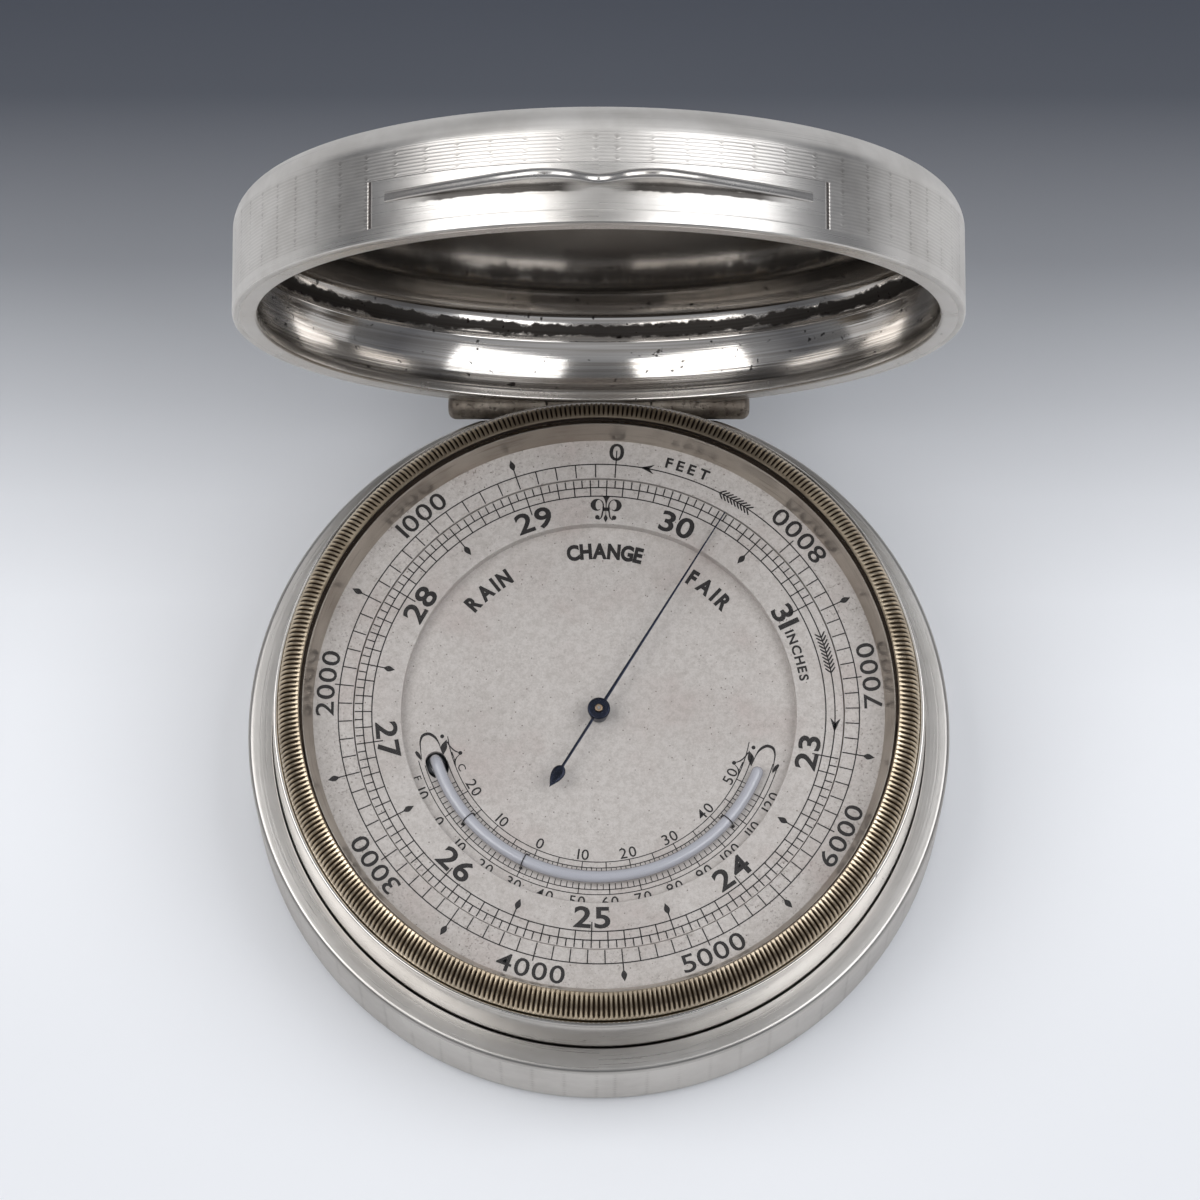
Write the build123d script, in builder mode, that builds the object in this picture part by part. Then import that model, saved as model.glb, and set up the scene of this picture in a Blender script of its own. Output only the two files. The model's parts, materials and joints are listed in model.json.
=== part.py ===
from build123d import *
from math import cos, radians, sin, sqrt
import os

# A travelling aneroid barometer in a round hinged case, standing open.
# Millimetres, +Z up. The origin is the centre of the case's underside, the lid's hinge lies
# towards +Y, and the lid stands open behind the dial.

# ---------------------------------------------------------------- Driving dimensions
# Case
case_radius = 35.0
sheet = 0.7  # thickness of the case's sheet metal
base_height = 12.6  # underside to shoulder
base_bottom_round = 1.5
base_edge_round = 0.5
collar_wall = 0.8
collar_lean = 0.35  # how far the collar's top leans in, so that the lid clears it
collar_gap = 0.1  # groove between shoulder and collar
mouth_gap = 0.05  # closed lid to shoulder

# Lid, measured along its own axis from the mouth
lid_room = 0.9  # crown's inside over the bezel's top when shut
lid_dome = 0.7  # how far the crown swells past its edge
lid_edge_round = 3.2
mouth_ring_gap = 0.05  # mouth ring's bore past the shoulder's
mouth_ring_depth = 1.3
lid_open_angle = 83.8  # from shut to the stop

# Hinge
hinge_inset = 0.7  # hinge line inside the case's outline
knuckle_radius = 1.4
hinge_half_length = 15.3
base_knuckle_half = 5.25
knuckle_gap = 0.1  # along the pin, between knuckles
knuckle_clearance = 0.15  # around a knuckle, to the other shell
hinge_pin_radius = 0.45
hinge_pin_clearance = 0.05

# Thumb tab on the lid's front
tab_half_width = 19.4
tab_depth = 4.0  # along the lid's axis to the tab's middle
tab_thickness = 1.0
tab_reach = 2.9

# Barometer drum
drum_inset = 3.5  # drum inside the case's outline
drum_gap = 0.15  # drum to collar, so that it lifts out
drum_wall = 0.8
drum_floor = 0.8
drum_height = 19.3

# Rotating bezel
bezel_lift = 0.05
bezel_overhang = 0.1  # past the drum's wall
bezel_lip_height = 0.4
bezel_height = 2.95
bezel_slope = 1.85  # lip's radius less crown's radius
bezel_bulge = 0.6  # how far the edge swells past the straight line from lip to crown
skirt_depth = 1.45
skirt_wall = 0.65
running_clearance = 0.05
snap_bead = 0.2
glass_inset = 0.25  # crown's radius less the glass's radius
glass_thickness = 0.8
glass_seat_rise = 1.75  # glass's seat over the bezel's bottom
glass_gap = 0.1
glass_ledge = 0.45
rehaut_slope = 0.95  # rehaut's outside radius less its foot's radius

# Dials
altitude_ring_drop = 0.8  # under the drum's top
altitude_ring_thickness = 0.5
altitude_ring_width = 4.0
dial_joint_gap = 0.1  # between turning ring and fixed dial
pressure_dial_drop = 0.2  # under the altitude ring
pressure_dial_thickness = 1.2
pressure_dial_width = 4.65
centre_dial_thickness = 0.6

# Thermometer on the dial
tube_radius = 0.6
tube_bore = 0.15
column_radius = 0.12
tube_arc_inset = 2.75  # pressure dial's bore less the tube's arc
tube_lift = 0.05
tube_tip_angle = -21.5
tube_turn_angle = -160.5  # where the tube starts to turn down through the dial
tube_turn_radius = 1.0
column_end_angle = -84.0
bulb_radius = 1.2
bulb_length = 4.5
bulb_wall = 0.2
bulb_gap = 0.03
dial_bottom_to_bulb = 0.9
tube_hole_gap = 0.45
tube_hole_run = 0.7  # between the hole's two round ends
tube_hole_shift = 0.55  # hole's middle from the bulb's axis, back along the tube
clip_angles = (220.0, 244.0, 319.0)
clip_wire = 0.18
clip_width = 0.25
clip_gap = 0.02

# Pointer
pointer_angle = 58.5
pointer_tip_inset = 0.2  # pointer's tip inside the altitude ring
pointer_root_width = 0.36
pointer_tip_width = 0.14
pointer_thickness = 0.15
pointer_rise = 1.75  # pointer's underside over the centre dial
tail_stem_length = 6.8
tail_stem_width = 0.28
tail_length = 9.3
tail_leaf_width = 1.3
hub_radius = 1.12
hub_boss_radius = 0.9
hub_neck_radius = 0.55
hub_head_height = 0.4
hub_foot_gap = 0.25
arbor_radius = 0.4
arbor_end_radius = 0.3
arbor_end_height = 0.1
pivot_radius = 0.25

# Movement plate and its screws
plate_margin = 1.7  # plate's rim to the drum's wall
plate_thickness = 1.0
plate_screw_inset = 2.5
dial_pillar_inset = 2.15
dial_pillar_radius = 1.1
dial_pillar_angles = (50, 130, 230, 310)
plate_screw_angles = (90, 210, 330)
screw_shank = 0.7
screw_head = 1.35
screw_head_height = 0.7
screw_slot_width = 0.3
screw_slot_depth = 0.3
screw_reach = 2.8

# Capsule
capsule_radius = 12.5
capsule_boss_height = 0.5
capsule_boss_radius = 3.0
capsule_height = 4.0
capsule_sheet = 0.2
wave_count = 4
wave_height = 0.25
capsule_flat_radius = 3.0
capsule_rim = 1.5  # flat seam outside the waves
stud_radius = 0.9

# Mainspring and main lever
spring_rise = 1.6  # spring's underside over the capsule
spring_thickness = 0.8
spring_tip_half_width = 4.0
spring_overhang = 2.6
block_gap = 6.0  # spring block to capsule
block_half_length = 3.0
block_half_width = 7.0
spring_screw_y = 4.55
lever_pivot_x = -5.0
lever_heel = 3.0
lever_rib_radius = 0.35  # rib across the lever's underside, on its pivot line
lever_thickness = 0.6
lever_half_width = 3.0
lever_tip_gap = 2.1  # link's line outside the capsule
lever_tip_height = 1.2
lever_tip_half_length = 1.2
lever_tip_half_width = 1.2
stud_slot_half_length = 1.6
stud_slot_half_width = 1.2
knife_radius = 0.35
knife_half_length = 2.8
knife_gap = 0.05

# Rocking shaft, its arms and the link
shaft_drop = 1.0  # shaft's axis under the spring
shaft_radius = 0.6
shaft_pivot_radius = 0.4
shaft_half_length = 5.9
post_half_length = 1.2
post_thickness = 1.0
post_height_over_shaft = 1.6
arm_rest_angle = 20.2  # short arm below level, and chain arm towards the arbor
short_arm_length = 3.8
arm_thickness = 0.7
arm_half_width = 0.6
arm_hub_radius = 1.1
link_half_thickness = 0.4
link_eye_radius = 0.75
link_open_eye_radius = 1.0
link_pin_radius = 0.25
arm_pin_radius = 0.3
open_eye_clearance = 0.3  # the pivot left open in the linkage
side_gap = 0.1

# Arbor bridge, chain drum, chain and hairspring
bridge_room = 2.0  # bridge over the main lever
bridge_thickness = 0.8
bridge_half_width = 2.5
bridge_pillar_gap = 1.7  # pillar to capsule
bridge_pillar_radius = 1.3
bridge_end_margin = 2.1
chain_drum_radius = 1.0
chain_drum_flange = 1.5
chain_drum_lift = 0.2
flange_thickness = 0.25
chain_thickness = 0.2
chain_height = 0.5
chain_gap = 0.02
chain_wrap = 300
hairspring_lift = 1.0  # hairspring over the chain drum
hairspring_height = 0.3
hairspring_thickness = 0.12
hairspring_pitch = 1.0
hairspring_half_turns = 10
collet_radius = 1.0
collet_height = 0.9
hairspring_post_radius = 0.5

# Adjusting screw, reached through the drum's floor
adjuster_radius = 1.0
adjuster_head_radius = 1.5
adjuster_head_height = 0.65
adjuster_floor_gap = 0.1
adjuster_length = 6.5

# ---------------------------------------------------------------- Derived places
shell_bore = case_radius - sheet
drum_radius = case_radius - drum_inset
hinge_y = case_radius - hinge_inset
mouth_z = base_height + mouth_gap
drum_bottom = sheet
drum_top = drum_bottom + drum_height
collar_top = drum_top
collar_bore = drum_radius + drum_gap
collar_radius = collar_bore + collar_wall
collar_top_radius = collar_radius - collar_lean
shoulder_bore = collar_radius + collar_gap
mouth_ring_bore = shoulder_bore + mouth_ring_gap
plate_bottom = drum_bottom + drum_floor
plate_top = plate_bottom + plate_thickness
drum_bore = drum_radius - drum_wall
skirt_radius = drum_bore - running_clearance
skirt_bore = skirt_radius - skirt_wall
bezel_bottom = drum_top + bezel_lift
bezel_top = bezel_bottom + bezel_height
bezel_radius = drum_radius + bezel_overhang
bezel_crown_radius = bezel_radius - bezel_slope
bead_z = bezel_bottom - skirt_depth * 0.6
glass_radius = bezel_crown_radius - glass_inset
glass_rebate_radius = glass_radius + glass_gap
glass_seat = bezel_bottom + glass_seat_rise
glass_top = glass_seat + glass_thickness
rehaut_radius = glass_rebate_radius - glass_ledge
rehaut_foot_radius = rehaut_radius - rehaut_slope
altitude_ring_top = drum_top - altitude_ring_drop
altitude_ring_bore = rehaut_foot_radius - altitude_ring_width + dial_joint_gap / 2
dial_radius = altitude_ring_bore - dial_joint_gap
pressure_dial_top = altitude_ring_top - pressure_dial_drop
pressure_dial_bore = dial_radius - pressure_dial_width
centre_dial_top = pressure_dial_top - pressure_dial_thickness
centre_dial_bottom = centre_dial_top - centre_dial_thickness
lid_depth = bezel_top + lid_room + sheet - mouth_z + lid_dome / 2
lid_crown_depth = lid_depth - lid_dome
lid_wall_depth = lid_crown_depth - lid_edge_round
lid_crown_radius = case_radius - lid_edge_round
tube_arc_radius = pressure_dial_bore - tube_arc_inset
tube_z = centre_dial_top + tube_lift + tube_radius
tube_hole_radius = tube_radius + tube_hole_gap
turn_direction = (sin(radians(tube_turn_angle)), -cos(radians(tube_turn_angle)))
bulb_x = tube_arc_radius * cos(radians(tube_turn_angle)) + tube_turn_radius * turn_direction[0]
bulb_y = tube_arc_radius * sin(radians(tube_turn_angle)) + tube_turn_radius * turn_direction[1]
tube_hole_x = bulb_x - tube_hole_shift * turn_direction[0]
tube_hole_y = bulb_y - tube_hole_shift * turn_direction[1]
bulb_top = centre_dial_bottom - dial_bottom_to_bulb
pointer_length = altitude_ring_bore - pointer_tip_inset
pointer_level = centre_dial_top + pointer_rise
blade_top = pointer_level + pointer_thickness
hub_top = blade_top + hub_head_height
arbor_top = hub_top + arbor_end_height
plate_radius = drum_bore - plate_margin
plate_screw_circle = plate_radius - plate_screw_inset
dial_pillar_circle = dial_radius - dial_pillar_inset
capsule_wave_end = capsule_radius - capsule_rim
capsule_bottom = plate_top + capsule_boss_height
capsule_middle = capsule_bottom + capsule_height / 2
capsule_top = capsule_bottom + capsule_height
spring_level = capsule_top + spring_rise
spring_top = spring_level + spring_thickness
block_middle_x = -capsule_radius - block_gap - block_half_length
spring_screw_places = [(block_middle_x, side * spring_screw_y) for side in (-1, 1)]
lever_top = spring_top + lever_thickness
lever_tip_x = capsule_radius + lever_tip_gap
lever_tip_z = spring_top + lever_thickness / 2
knife_z = lever_top + knife_gap + knife_radius
shaft_x = lever_tip_x + short_arm_length
shaft_z = spring_level - shaft_drop
bridge_level = lever_top + bridge_room
bridge_top = bridge_level + bridge_thickness
bridge_pillar_y = capsule_radius + bridge_pillar_gap + bridge_pillar_radius
bridge_screw_places = [(0, side * bridge_pillar_y) for side in (-1, 1)]
chain_drum_level = bridge_top + chain_drum_lift
chain_room = chain_height + 4 * chain_gap
chain_level = chain_drum_level + flange_thickness + 2 * chain_gap
chain_line_radius = chain_drum_radius + chain_gap + chain_thickness / 2
hairspring_level = chain_drum_level + chain_room + 2 * flange_thickness + hairspring_lift
hairspring_end = collet_radius + hairspring_half_turns * hairspring_pitch / 2
arm_end_x = shaft_x - short_arm_length * cos(radians(arm_rest_angle))
arm_end_z = shaft_z - short_arm_length * sin(radians(arm_rest_angle))
chain_arm_length = (chain_level + chain_height / 2 - shaft_z) / cos(radians(arm_rest_angle))
chain_end_x = shaft_x - chain_arm_length * sin(radians(arm_rest_angle))
chain_end_z = shaft_z + chain_arm_length * cos(radians(arm_rest_angle))
post_inner_y = shaft_half_length + side_gap

# The lid's own frame: x along the hinge, z out of its crown, y towards the hinge.
lid_turn = radians(lid_open_angle)
lid_up = (0, sin(lid_turn), cos(lid_turn))
lid_origin = (0, hinge_y - hinge_y * cos(lid_turn), mouth_z + hinge_y * sin(lid_turn))
lid_plane = Plane(origin=lid_origin, x_dir=(1, 0, 0), z_dir=lid_up)
lid_section = Plane(origin=lid_origin, x_dir=(1, 0, 0), z_dir=(0, -cos(lid_turn), sin(lid_turn)))
lid_axis = Axis(lid_origin, lid_up)

# Across the hinge: the plane's normal runs along the pin.
hinge_plane = Plane(origin=(0, hinge_y, mouth_z), x_dir=(0, 1, 0), z_dir=(1, 0, 0))


# ---------------------------------------------------------------- Shared shapes
def corners_near(*points):
    """Corners of the sketch being drawn that lie nearest to the given points."""
    return [vertices().sort_by_distance(point)[0] for point in points]


def outline(*points):
    """A filled outline with straight sides."""
    Polygon(*points, align=None)


def hinge_cylinder(start, length, radius, mode):
    """A round bar along the hinge line, from start towards +X."""
    with BuildSketch(hinge_plane.offset(start)) as section:
        Circle(radius)
    extrude(section.sketch, amount=length, mode=mode)


def screw(x, y, seat, reach):
    """A slotted screw with its head on seat and its shank reaching down."""
    with BuildSketch(Plane(origin=(x, y, seat))) as head:
        Circle(screw_head)
    extrude(head.sketch, amount=screw_head_height)
    with BuildSketch(Plane(origin=(x, y, seat - reach))) as shank:
        Circle(screw_shank)
    extrude(shank.sketch, amount=reach)
    with BuildSketch(Plane(origin=(x, y, seat + screw_head_height - screw_slot_depth))) as slot:
        Rectangle(2 * screw_head + 1, screw_slot_width)
    extrude(slot.sketch, amount=screw_slot_depth, mode=Mode.SUBTRACT)


def bar_along_y(x, z, radius, y_from, y_to, mode=Mode.ADD):
    """A round bar parallel to Y."""
    with BuildSketch(Plane(origin=(x, y_from, z), x_dir=(1, 0, 0), z_dir=(0, 1, 0))) as section:
        Circle(radius)
    extrude(section.sketch, amount=y_to - y_from, mode=mode)


def arm_between(start, end, half_width, y_from, y_to):
    """A flat bar in the XZ plane between two (x, z) points, with rounded ends."""
    run = sqrt((end[0] - start[0]) ** 2 + (end[1] - start[1]) ** 2)
    along = ((end[0] - start[0]) / run, 0, (end[1] - start[1]) / run)
    middle = ((start[0] + end[0]) / 2, y_from, (start[1] + end[1]) / 2)
    with BuildSketch(Plane(origin=middle, x_dir=along, z_dir=(0, 1, 0))) as section:
        SlotCenterToCenter(run, 2 * half_width)
    extrude(section.sketch, amount=y_to - y_from)


def diaphragm(side):
    """One corrugated sheet of the capsule: flat centre, waves, and a turned rim at mid height.

    side is 1 for the upper sheet and -1 for the lower one.
    """
    outer_level = capsule_middle + side * capsule_height / 2
    wave = (capsule_wave_end - capsule_flat_radius) / wave_count
    levels = (outer_level, outer_level - side * capsule_sheet)
    with BuildSketch(Plane.XZ) as section:
        with BuildLine():
            for level in levels:
                Line((0, level), (capsule_flat_radius, level))
                for index in range(2 * wave_count):
                    start = capsule_flat_radius + index * wave / 2
                    swing = side * wave_height * (-1 if index % 2 == 0 else 1)
                    ThreePointArc((start, level), (start + wave / 4, level + swing), (start + wave / 2, level))
            Line((0, levels[0]), (0, levels[1]))
            Polyline(
                (capsule_wave_end, levels[0]),
                (capsule_wave_end + capsule_sheet, levels[0]),
                (capsule_wave_end + capsule_sheet, capsule_middle + side * capsule_sheet),
                (capsule_radius, capsule_middle + side * capsule_sheet),
                (capsule_radius, capsule_middle),
                (capsule_wave_end, capsule_middle),
                (capsule_wave_end, levels[1]),
            )
        make_face()
    revolve(section.sketch, axis=Axis.Z)


def tube_run(radius, start_angle, down_to, mode=Mode.ADD):
    """A round rod along the thermometer's line: round the dial, then down through it."""
    arc_degrees = start_angle - tube_turn_angle
    turn = radians(tube_turn_angle)
    start = radians(start_angle)
    start_at = (tube_arc_radius * cos(start), tube_arc_radius * sin(start), tube_z)
    onward = (sin(start), -cos(start), 0)
    with BuildSketch(Plane(origin=start_at, x_dir=(cos(start), sin(start), 0), z_dir=onward)) as section:
        Circle(radius)
    level_axis = Axis((0, 0, tube_z), (0, 0, -1))
    revolve(section.sketch, axis=level_axis, revolution_arc=arc_degrees, mode=mode)
    turn_at = (tube_arc_radius * cos(turn), tube_arc_radius * sin(turn), tube_z)
    onward = (sin(turn), -cos(turn), 0)
    with BuildSketch(Plane(origin=turn_at, x_dir=(cos(turn), sin(turn), 0), z_dir=onward)) as section:
        Circle(radius)
    bend_axis = Axis((turn_at[0], turn_at[1], tube_z - tube_turn_radius), (cos(turn), sin(turn), 0))
    revolve(section.sketch, axis=bend_axis, revolution_arc=90, mode=mode)
    with BuildSketch(Plane(origin=(bulb_x, bulb_y, down_to))) as section:
        Circle(radius)
    extrude(section.sketch, amount=tube_z - tube_turn_radius - down_to, mode=mode)


os.makedirs("parts", exist_ok=True)
pieces = {}

# ---------------------------------------------------------------- Silver case: base
with BuildPart() as base_shell:
    with BuildSketch(Plane.XZ):
        outline(
            (0, 0),
            (case_radius, 0),
            (case_radius, base_height),
            (shoulder_bore, base_height),
            (shoulder_bore, base_height - sheet),
            (shell_bore, base_height - sheet),
            (shell_bore, sheet),
            (0, sheet),
        )
        fillet(corners_near((case_radius, 0)), base_bottom_round)
        fillet(corners_near((shell_bore, sheet)), base_bottom_round - sheet)
        fillet(corners_near((case_radius, base_height)), base_edge_round)
    revolve(axis=Axis.Z)
    hinge_cylinder(-base_knuckle_half, 2 * base_knuckle_half, knuckle_radius, Mode.SUBTRACT)
    outer_cut = hinge_half_length + knuckle_gap - base_knuckle_half
    for start in (base_knuckle_half, -base_knuckle_half - outer_cut):
        hinge_cylinder(start, outer_cut, knuckle_radius + knuckle_clearance, Mode.SUBTRACT)
pieces["base_shell"] = base_shell

with BuildPart() as base_collar:
    with BuildSketch(Plane.XZ):
        with BuildLine():
            Polyline(
                (collar_top_radius, collar_top),
                (collar_bore, collar_top),
                (collar_bore, sheet),
                (collar_radius, sheet),
                (collar_radius, base_height),
            )
            TangentArc((collar_radius, base_height), (collar_top_radius, collar_top), tangent=(0, 1))
        make_face()
    revolve(axis=Axis.Z)
pieces["base_collar"] = base_collar

with BuildPart() as base_knuckle:
    hinge_cylinder(-base_knuckle_half, 2 * base_knuckle_half, knuckle_radius, Mode.ADD)
    hinge_cylinder(-base_knuckle_half, 2 * base_knuckle_half, hinge_pin_radius, Mode.SUBTRACT)
pieces["base_knuckle"] = base_knuckle

with BuildPart() as hinge_pin:
    hinge_cylinder(-hinge_half_length, 2 * hinge_half_length, hinge_pin_radius, Mode.ADD)
pieces["hinge_pin"] = hinge_pin

# ---------------------------------------------------------------- Silver case: lid
lid_knuckle_start = base_knuckle_half + knuckle_gap
lid_knuckle_length = hinge_half_length - lid_knuckle_start

with BuildPart() as lid_shell:
    with BuildSketch(lid_section):
        with BuildLine():
            Line((0, lid_depth), (0, lid_depth - sheet))
            Line((0, lid_depth - sheet), (lid_crown_radius, lid_crown_depth - sheet))
            Line((lid_crown_radius, lid_crown_depth - sheet), (shell_bore, lid_wall_depth))
            Line((shell_bore, lid_wall_depth), (shell_bore, 0))
            Line((shell_bore, 0), (case_radius, 0))
            Line((case_radius, 0), (case_radius, lid_wall_depth))
            TangentArc((case_radius, lid_wall_depth), (lid_crown_radius, lid_crown_depth), tangent=(0, 1))
            Line((lid_crown_radius, lid_crown_depth), (0, lid_depth))
        make_face()
    revolve(axis=lid_axis)
    hinge_cylinder(-lid_knuckle_start, 2 * lid_knuckle_start, knuckle_radius + knuckle_clearance, Mode.SUBTRACT)
    for start in (lid_knuckle_start, -hinge_half_length):
        hinge_cylinder(start, lid_knuckle_length, knuckle_radius, Mode.SUBTRACT)
pieces["lid_shell"] = lid_shell

with BuildPart() as lid_mouth_ring:
    with BuildSketch(lid_section):
        outline(
            (mouth_ring_bore, 0),
            (shell_bore, 0),
            (shell_bore, mouth_ring_depth),
            (mouth_ring_bore, mouth_ring_depth),
        )
    revolve(axis=lid_axis)
    hinge_cylinder(-lid_knuckle_start, 2 * lid_knuckle_start, knuckle_radius + knuckle_clearance, Mode.SUBTRACT)
    for start in (lid_knuckle_start, -hinge_half_length):
        hinge_cylinder(start, lid_knuckle_length, knuckle_radius, Mode.SUBTRACT)
pieces["lid_mouth_ring"] = lid_mouth_ring

with BuildPart() as lid_knuckles:
    for start in (lid_knuckle_start, -hinge_half_length):
        hinge_cylinder(start, lid_knuckle_length, knuckle_radius, Mode.ADD)
        hinge_cylinder(start, lid_knuckle_length, hinge_pin_radius + hinge_pin_clearance, Mode.SUBTRACT)
pieces["lid_knuckles"] = lid_knuckles


# Half of the bow's front edge, as shares of the half width and of the reach, then both halves.
half_bow = ((0.14, 0.75), (0.28, 1.0), (0.44, 0.8), (0.6, 0.5), (0.8, 0.25), (1.0, 0.1))
tab_bow = [(-across, reach) for across, reach in reversed(half_bow)] + [(0, 0.2)] + list(half_bow)


def tab_edge(across, reach):
    """A point of the thumb tab's front edge, reach beyond the lid's wall."""
    return (across, -sqrt(case_radius**2 - across**2) - reach)


with BuildPart() as thumb_tab:
    with BuildSketch(lid_plane.offset(tab_depth - tab_thickness / 2)):
        with BuildLine():
            Spline(*[tab_edge(across * tab_half_width, reach * tab_reach) for across, reach in tab_bow])
            Line(tab_edge(tab_half_width, 0.1 * tab_reach), tab_edge(tab_half_width, 0))
            ThreePointArc(tab_edge(tab_half_width, 0), tab_edge(0, 0), tab_edge(-tab_half_width, 0))
            Line(tab_edge(-tab_half_width, 0), tab_edge(-tab_half_width, 0.1 * tab_reach))
        make_face()
    extrude(amount=tab_thickness)
pieces["thumb_tab"] = thumb_tab

# ---------------------------------------------------------------- Barometer drum and turning bezel
with BuildPart() as barometer_drum:
    with BuildSketch(Plane.XZ):
        outline(
            (0, drum_bottom),
            (drum_radius, drum_bottom),
            (drum_radius, drum_top),
            (drum_bore, drum_top),
            (drum_bore, bead_z + 1.5 * snap_bead),
            (drum_bore + snap_bead, bead_z),
            (drum_bore, bead_z - 1.5 * snap_bead),
            (drum_bore, plate_bottom),
            (0, plate_bottom),
        )
    revolve(axis=Axis.Z)
    with BuildSketch(Plane.XY.offset(drum_bottom)):
        with Locations((block_middle_x, 0)):
            Circle(adjuster_head_radius + running_clearance)
    extrude(amount=drum_floor, mode=Mode.SUBTRACT)
    with BuildSketch(Plane.XY.offset(plate_bottom - drum_floor / 2)):
        with PolarLocations(plate_screw_circle, len(plate_screw_angles), plate_screw_angles[0]):
            Circle(screw_shank)
    extrude(amount=drum_floor / 2, mode=Mode.SUBTRACT)
pieces["barometer_drum"] = barometer_drum

with BuildPart() as bezel_ring:
    lip_top = bezel_bottom + bezel_lip_height
    edge_middle = ((bezel_radius + bezel_crown_radius) / 2, (lip_top + bezel_top) / 2)
    edge_run = sqrt((bezel_radius - bezel_crown_radius) ** 2 + (bezel_top - lip_top) ** 2)
    swell = (
        edge_middle[0] + bezel_bulge * (bezel_top - lip_top) / edge_run,
        edge_middle[1] + bezel_bulge * (bezel_radius - bezel_crown_radius) / edge_run,
    )
    with BuildSketch(Plane.XZ):
        with BuildLine():
            Line((bezel_radius, bezel_bottom), (bezel_radius, lip_top))
            ThreePointArc((bezel_radius, lip_top), swell, (bezel_crown_radius, bezel_top))
            Polyline(
                (bezel_crown_radius, bezel_top),
                (glass_radius - glass_gap, bezel_top),
                (glass_radius - glass_gap, glass_top + bezel_lift),
                (glass_rebate_radius, glass_top + bezel_lift),
                (glass_rebate_radius, glass_seat),
                (rehaut_radius, glass_seat),
                (rehaut_radius, bezel_bottom),
                (skirt_bore, bezel_bottom),
                (skirt_bore, bezel_bottom - skirt_depth),
                (skirt_radius, bezel_bottom - skirt_depth),
                (skirt_radius, bead_z - 1.5 * snap_bead),
                (skirt_radius + snap_bead, bead_z),
                (skirt_radius, bead_z + 1.5 * snap_bead),
                (skirt_radius, bezel_bottom),
                (bezel_radius, bezel_bottom),
            )
        make_face()
    revolve(axis=Axis.Z)
pieces["bezel_ring"] = bezel_ring

with BuildPart() as glass:
    with BuildSketch(Plane.XY.offset(glass_seat)):
        Circle(glass_radius)
    extrude(amount=glass_thickness)
    chamfer(edges().filter_by(GeomType.CIRCLE), bezel_lift)
pieces["glass"] = glass

with BuildPart() as rehaut_ring:
    with BuildSketch(Plane.XZ):
        outline(
            (rehaut_foot_radius, altitude_ring_top),
            (rehaut_radius, altitude_ring_top),
            (rehaut_radius, glass_seat - bezel_lift),
            (rehaut_radius - 2 * bezel_lift, glass_seat - bezel_lift),
        )
    revolve(axis=Axis.Z)
pieces["rehaut_ring"] = rehaut_ring

with BuildPart() as altitude_ring:
    with BuildSketch(Plane.XY.offset(altitude_ring_top - altitude_ring_thickness)):
        Circle(skirt_bore)
        Circle(altitude_ring_bore, mode=Mode.SUBTRACT)
    extrude(amount=altitude_ring_thickness)
pieces["altitude_ring"] = altitude_ring

# ---------------------------------------------------------------- Fixed dials
with BuildPart() as pressure_dial:
    with BuildSketch(Plane.XY.offset(centre_dial_top)):
        Circle(dial_radius)
        Circle(pressure_dial_bore, mode=Mode.SUBTRACT)
    extrude(amount=pressure_dial_top - centre_dial_top)
pieces["pressure_dial"] = pressure_dial

with BuildPart() as centre_dial:
    with BuildSketch(Plane.XY.offset(centre_dial_bottom)):
        Circle(dial_radius)
        Circle(arbor_radius + running_clearance, mode=Mode.SUBTRACT)
        with Locations((tube_hole_x, tube_hole_y)):
            SlotCenterToCenter(
                tube_hole_run, 2 * tube_hole_radius, rotation=tube_turn_angle + 90, mode=Mode.SUBTRACT
            )
    extrude(amount=centre_dial_thickness)
pieces["centre_dial"] = centre_dial

# ---------------------------------------------------------------- Thermometer
with BuildPart() as thermometer_tube:
    tip = radians(tube_tip_angle)
    with Locations((tube_arc_radius * cos(tip), tube_arc_radius * sin(tip), tube_z)):
        Sphere(tube_radius)
    tube_run(tube_radius, tube_tip_angle, bulb_top)
    with BuildSketch(Plane(origin=(bulb_x, bulb_y, bulb_top - bulb_length))):
        Circle(bulb_radius)
    extrude(amount=bulb_length)
    fillet(edges().filter_by(GeomType.CIRCLE).group_by(Axis.Z)[0], bulb_radius / 2)
    with BuildSketch(Plane(origin=(bulb_x, bulb_y, bulb_top - bulb_length + bulb_wall))):
        Circle(bulb_radius - bulb_wall)
    extrude(amount=bulb_length - 2 * bulb_wall, mode=Mode.SUBTRACT)
    tube_run(tube_bore, tube_tip_angle - 1, bulb_top - 2 * bulb_wall, Mode.SUBTRACT)
pieces["thermometer_tube"] = thermometer_tube

with BuildPart() as thermometer_column:
    tube_run(column_radius, column_end_angle, bulb_top - 2 * bulb_wall)
    with BuildSketch(Plane(origin=(bulb_x, bulb_y, bulb_top - bulb_length + bulb_wall + bulb_gap))):
        Circle(bulb_radius - bulb_wall - bulb_gap)
    extrude(amount=bulb_length - 2 * bulb_wall - 2 * bulb_gap)
pieces["thermometer_column"] = thermometer_column

with BuildPart() as thermometer_clips:
    inner = tube_radius + clip_gap
    for angle in clip_angles:
        outward = (cos(radians(angle)), sin(radians(angle)), 0)
        seat = (tube_arc_radius * outward[0], tube_arc_radius * outward[1], tube_z)
        across = Plane(origin=seat, x_dir=outward, z_dir=(sin(radians(angle)), -cos(radians(angle)), 0))
        with BuildSketch(across.offset(-clip_width / 2)):
            drop = tube_z - centre_dial_top
            with Locations((0, -drop / 2)):
                Rectangle(2 * (inner + clip_wire), drop)
            Circle(inner + clip_wire)
            with Locations((0, -drop)):
                Rectangle(2 * inner, 2 * drop, mode=Mode.SUBTRACT)
            Circle(inner, mode=Mode.SUBTRACT)
            with Locations((0, -2 * drop)):
                Rectangle(4 * inner, 2 * drop, mode=Mode.SUBTRACT)
        extrude(amount=clip_width)
pieces["thermometer_clips"] = thermometer_clips

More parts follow.
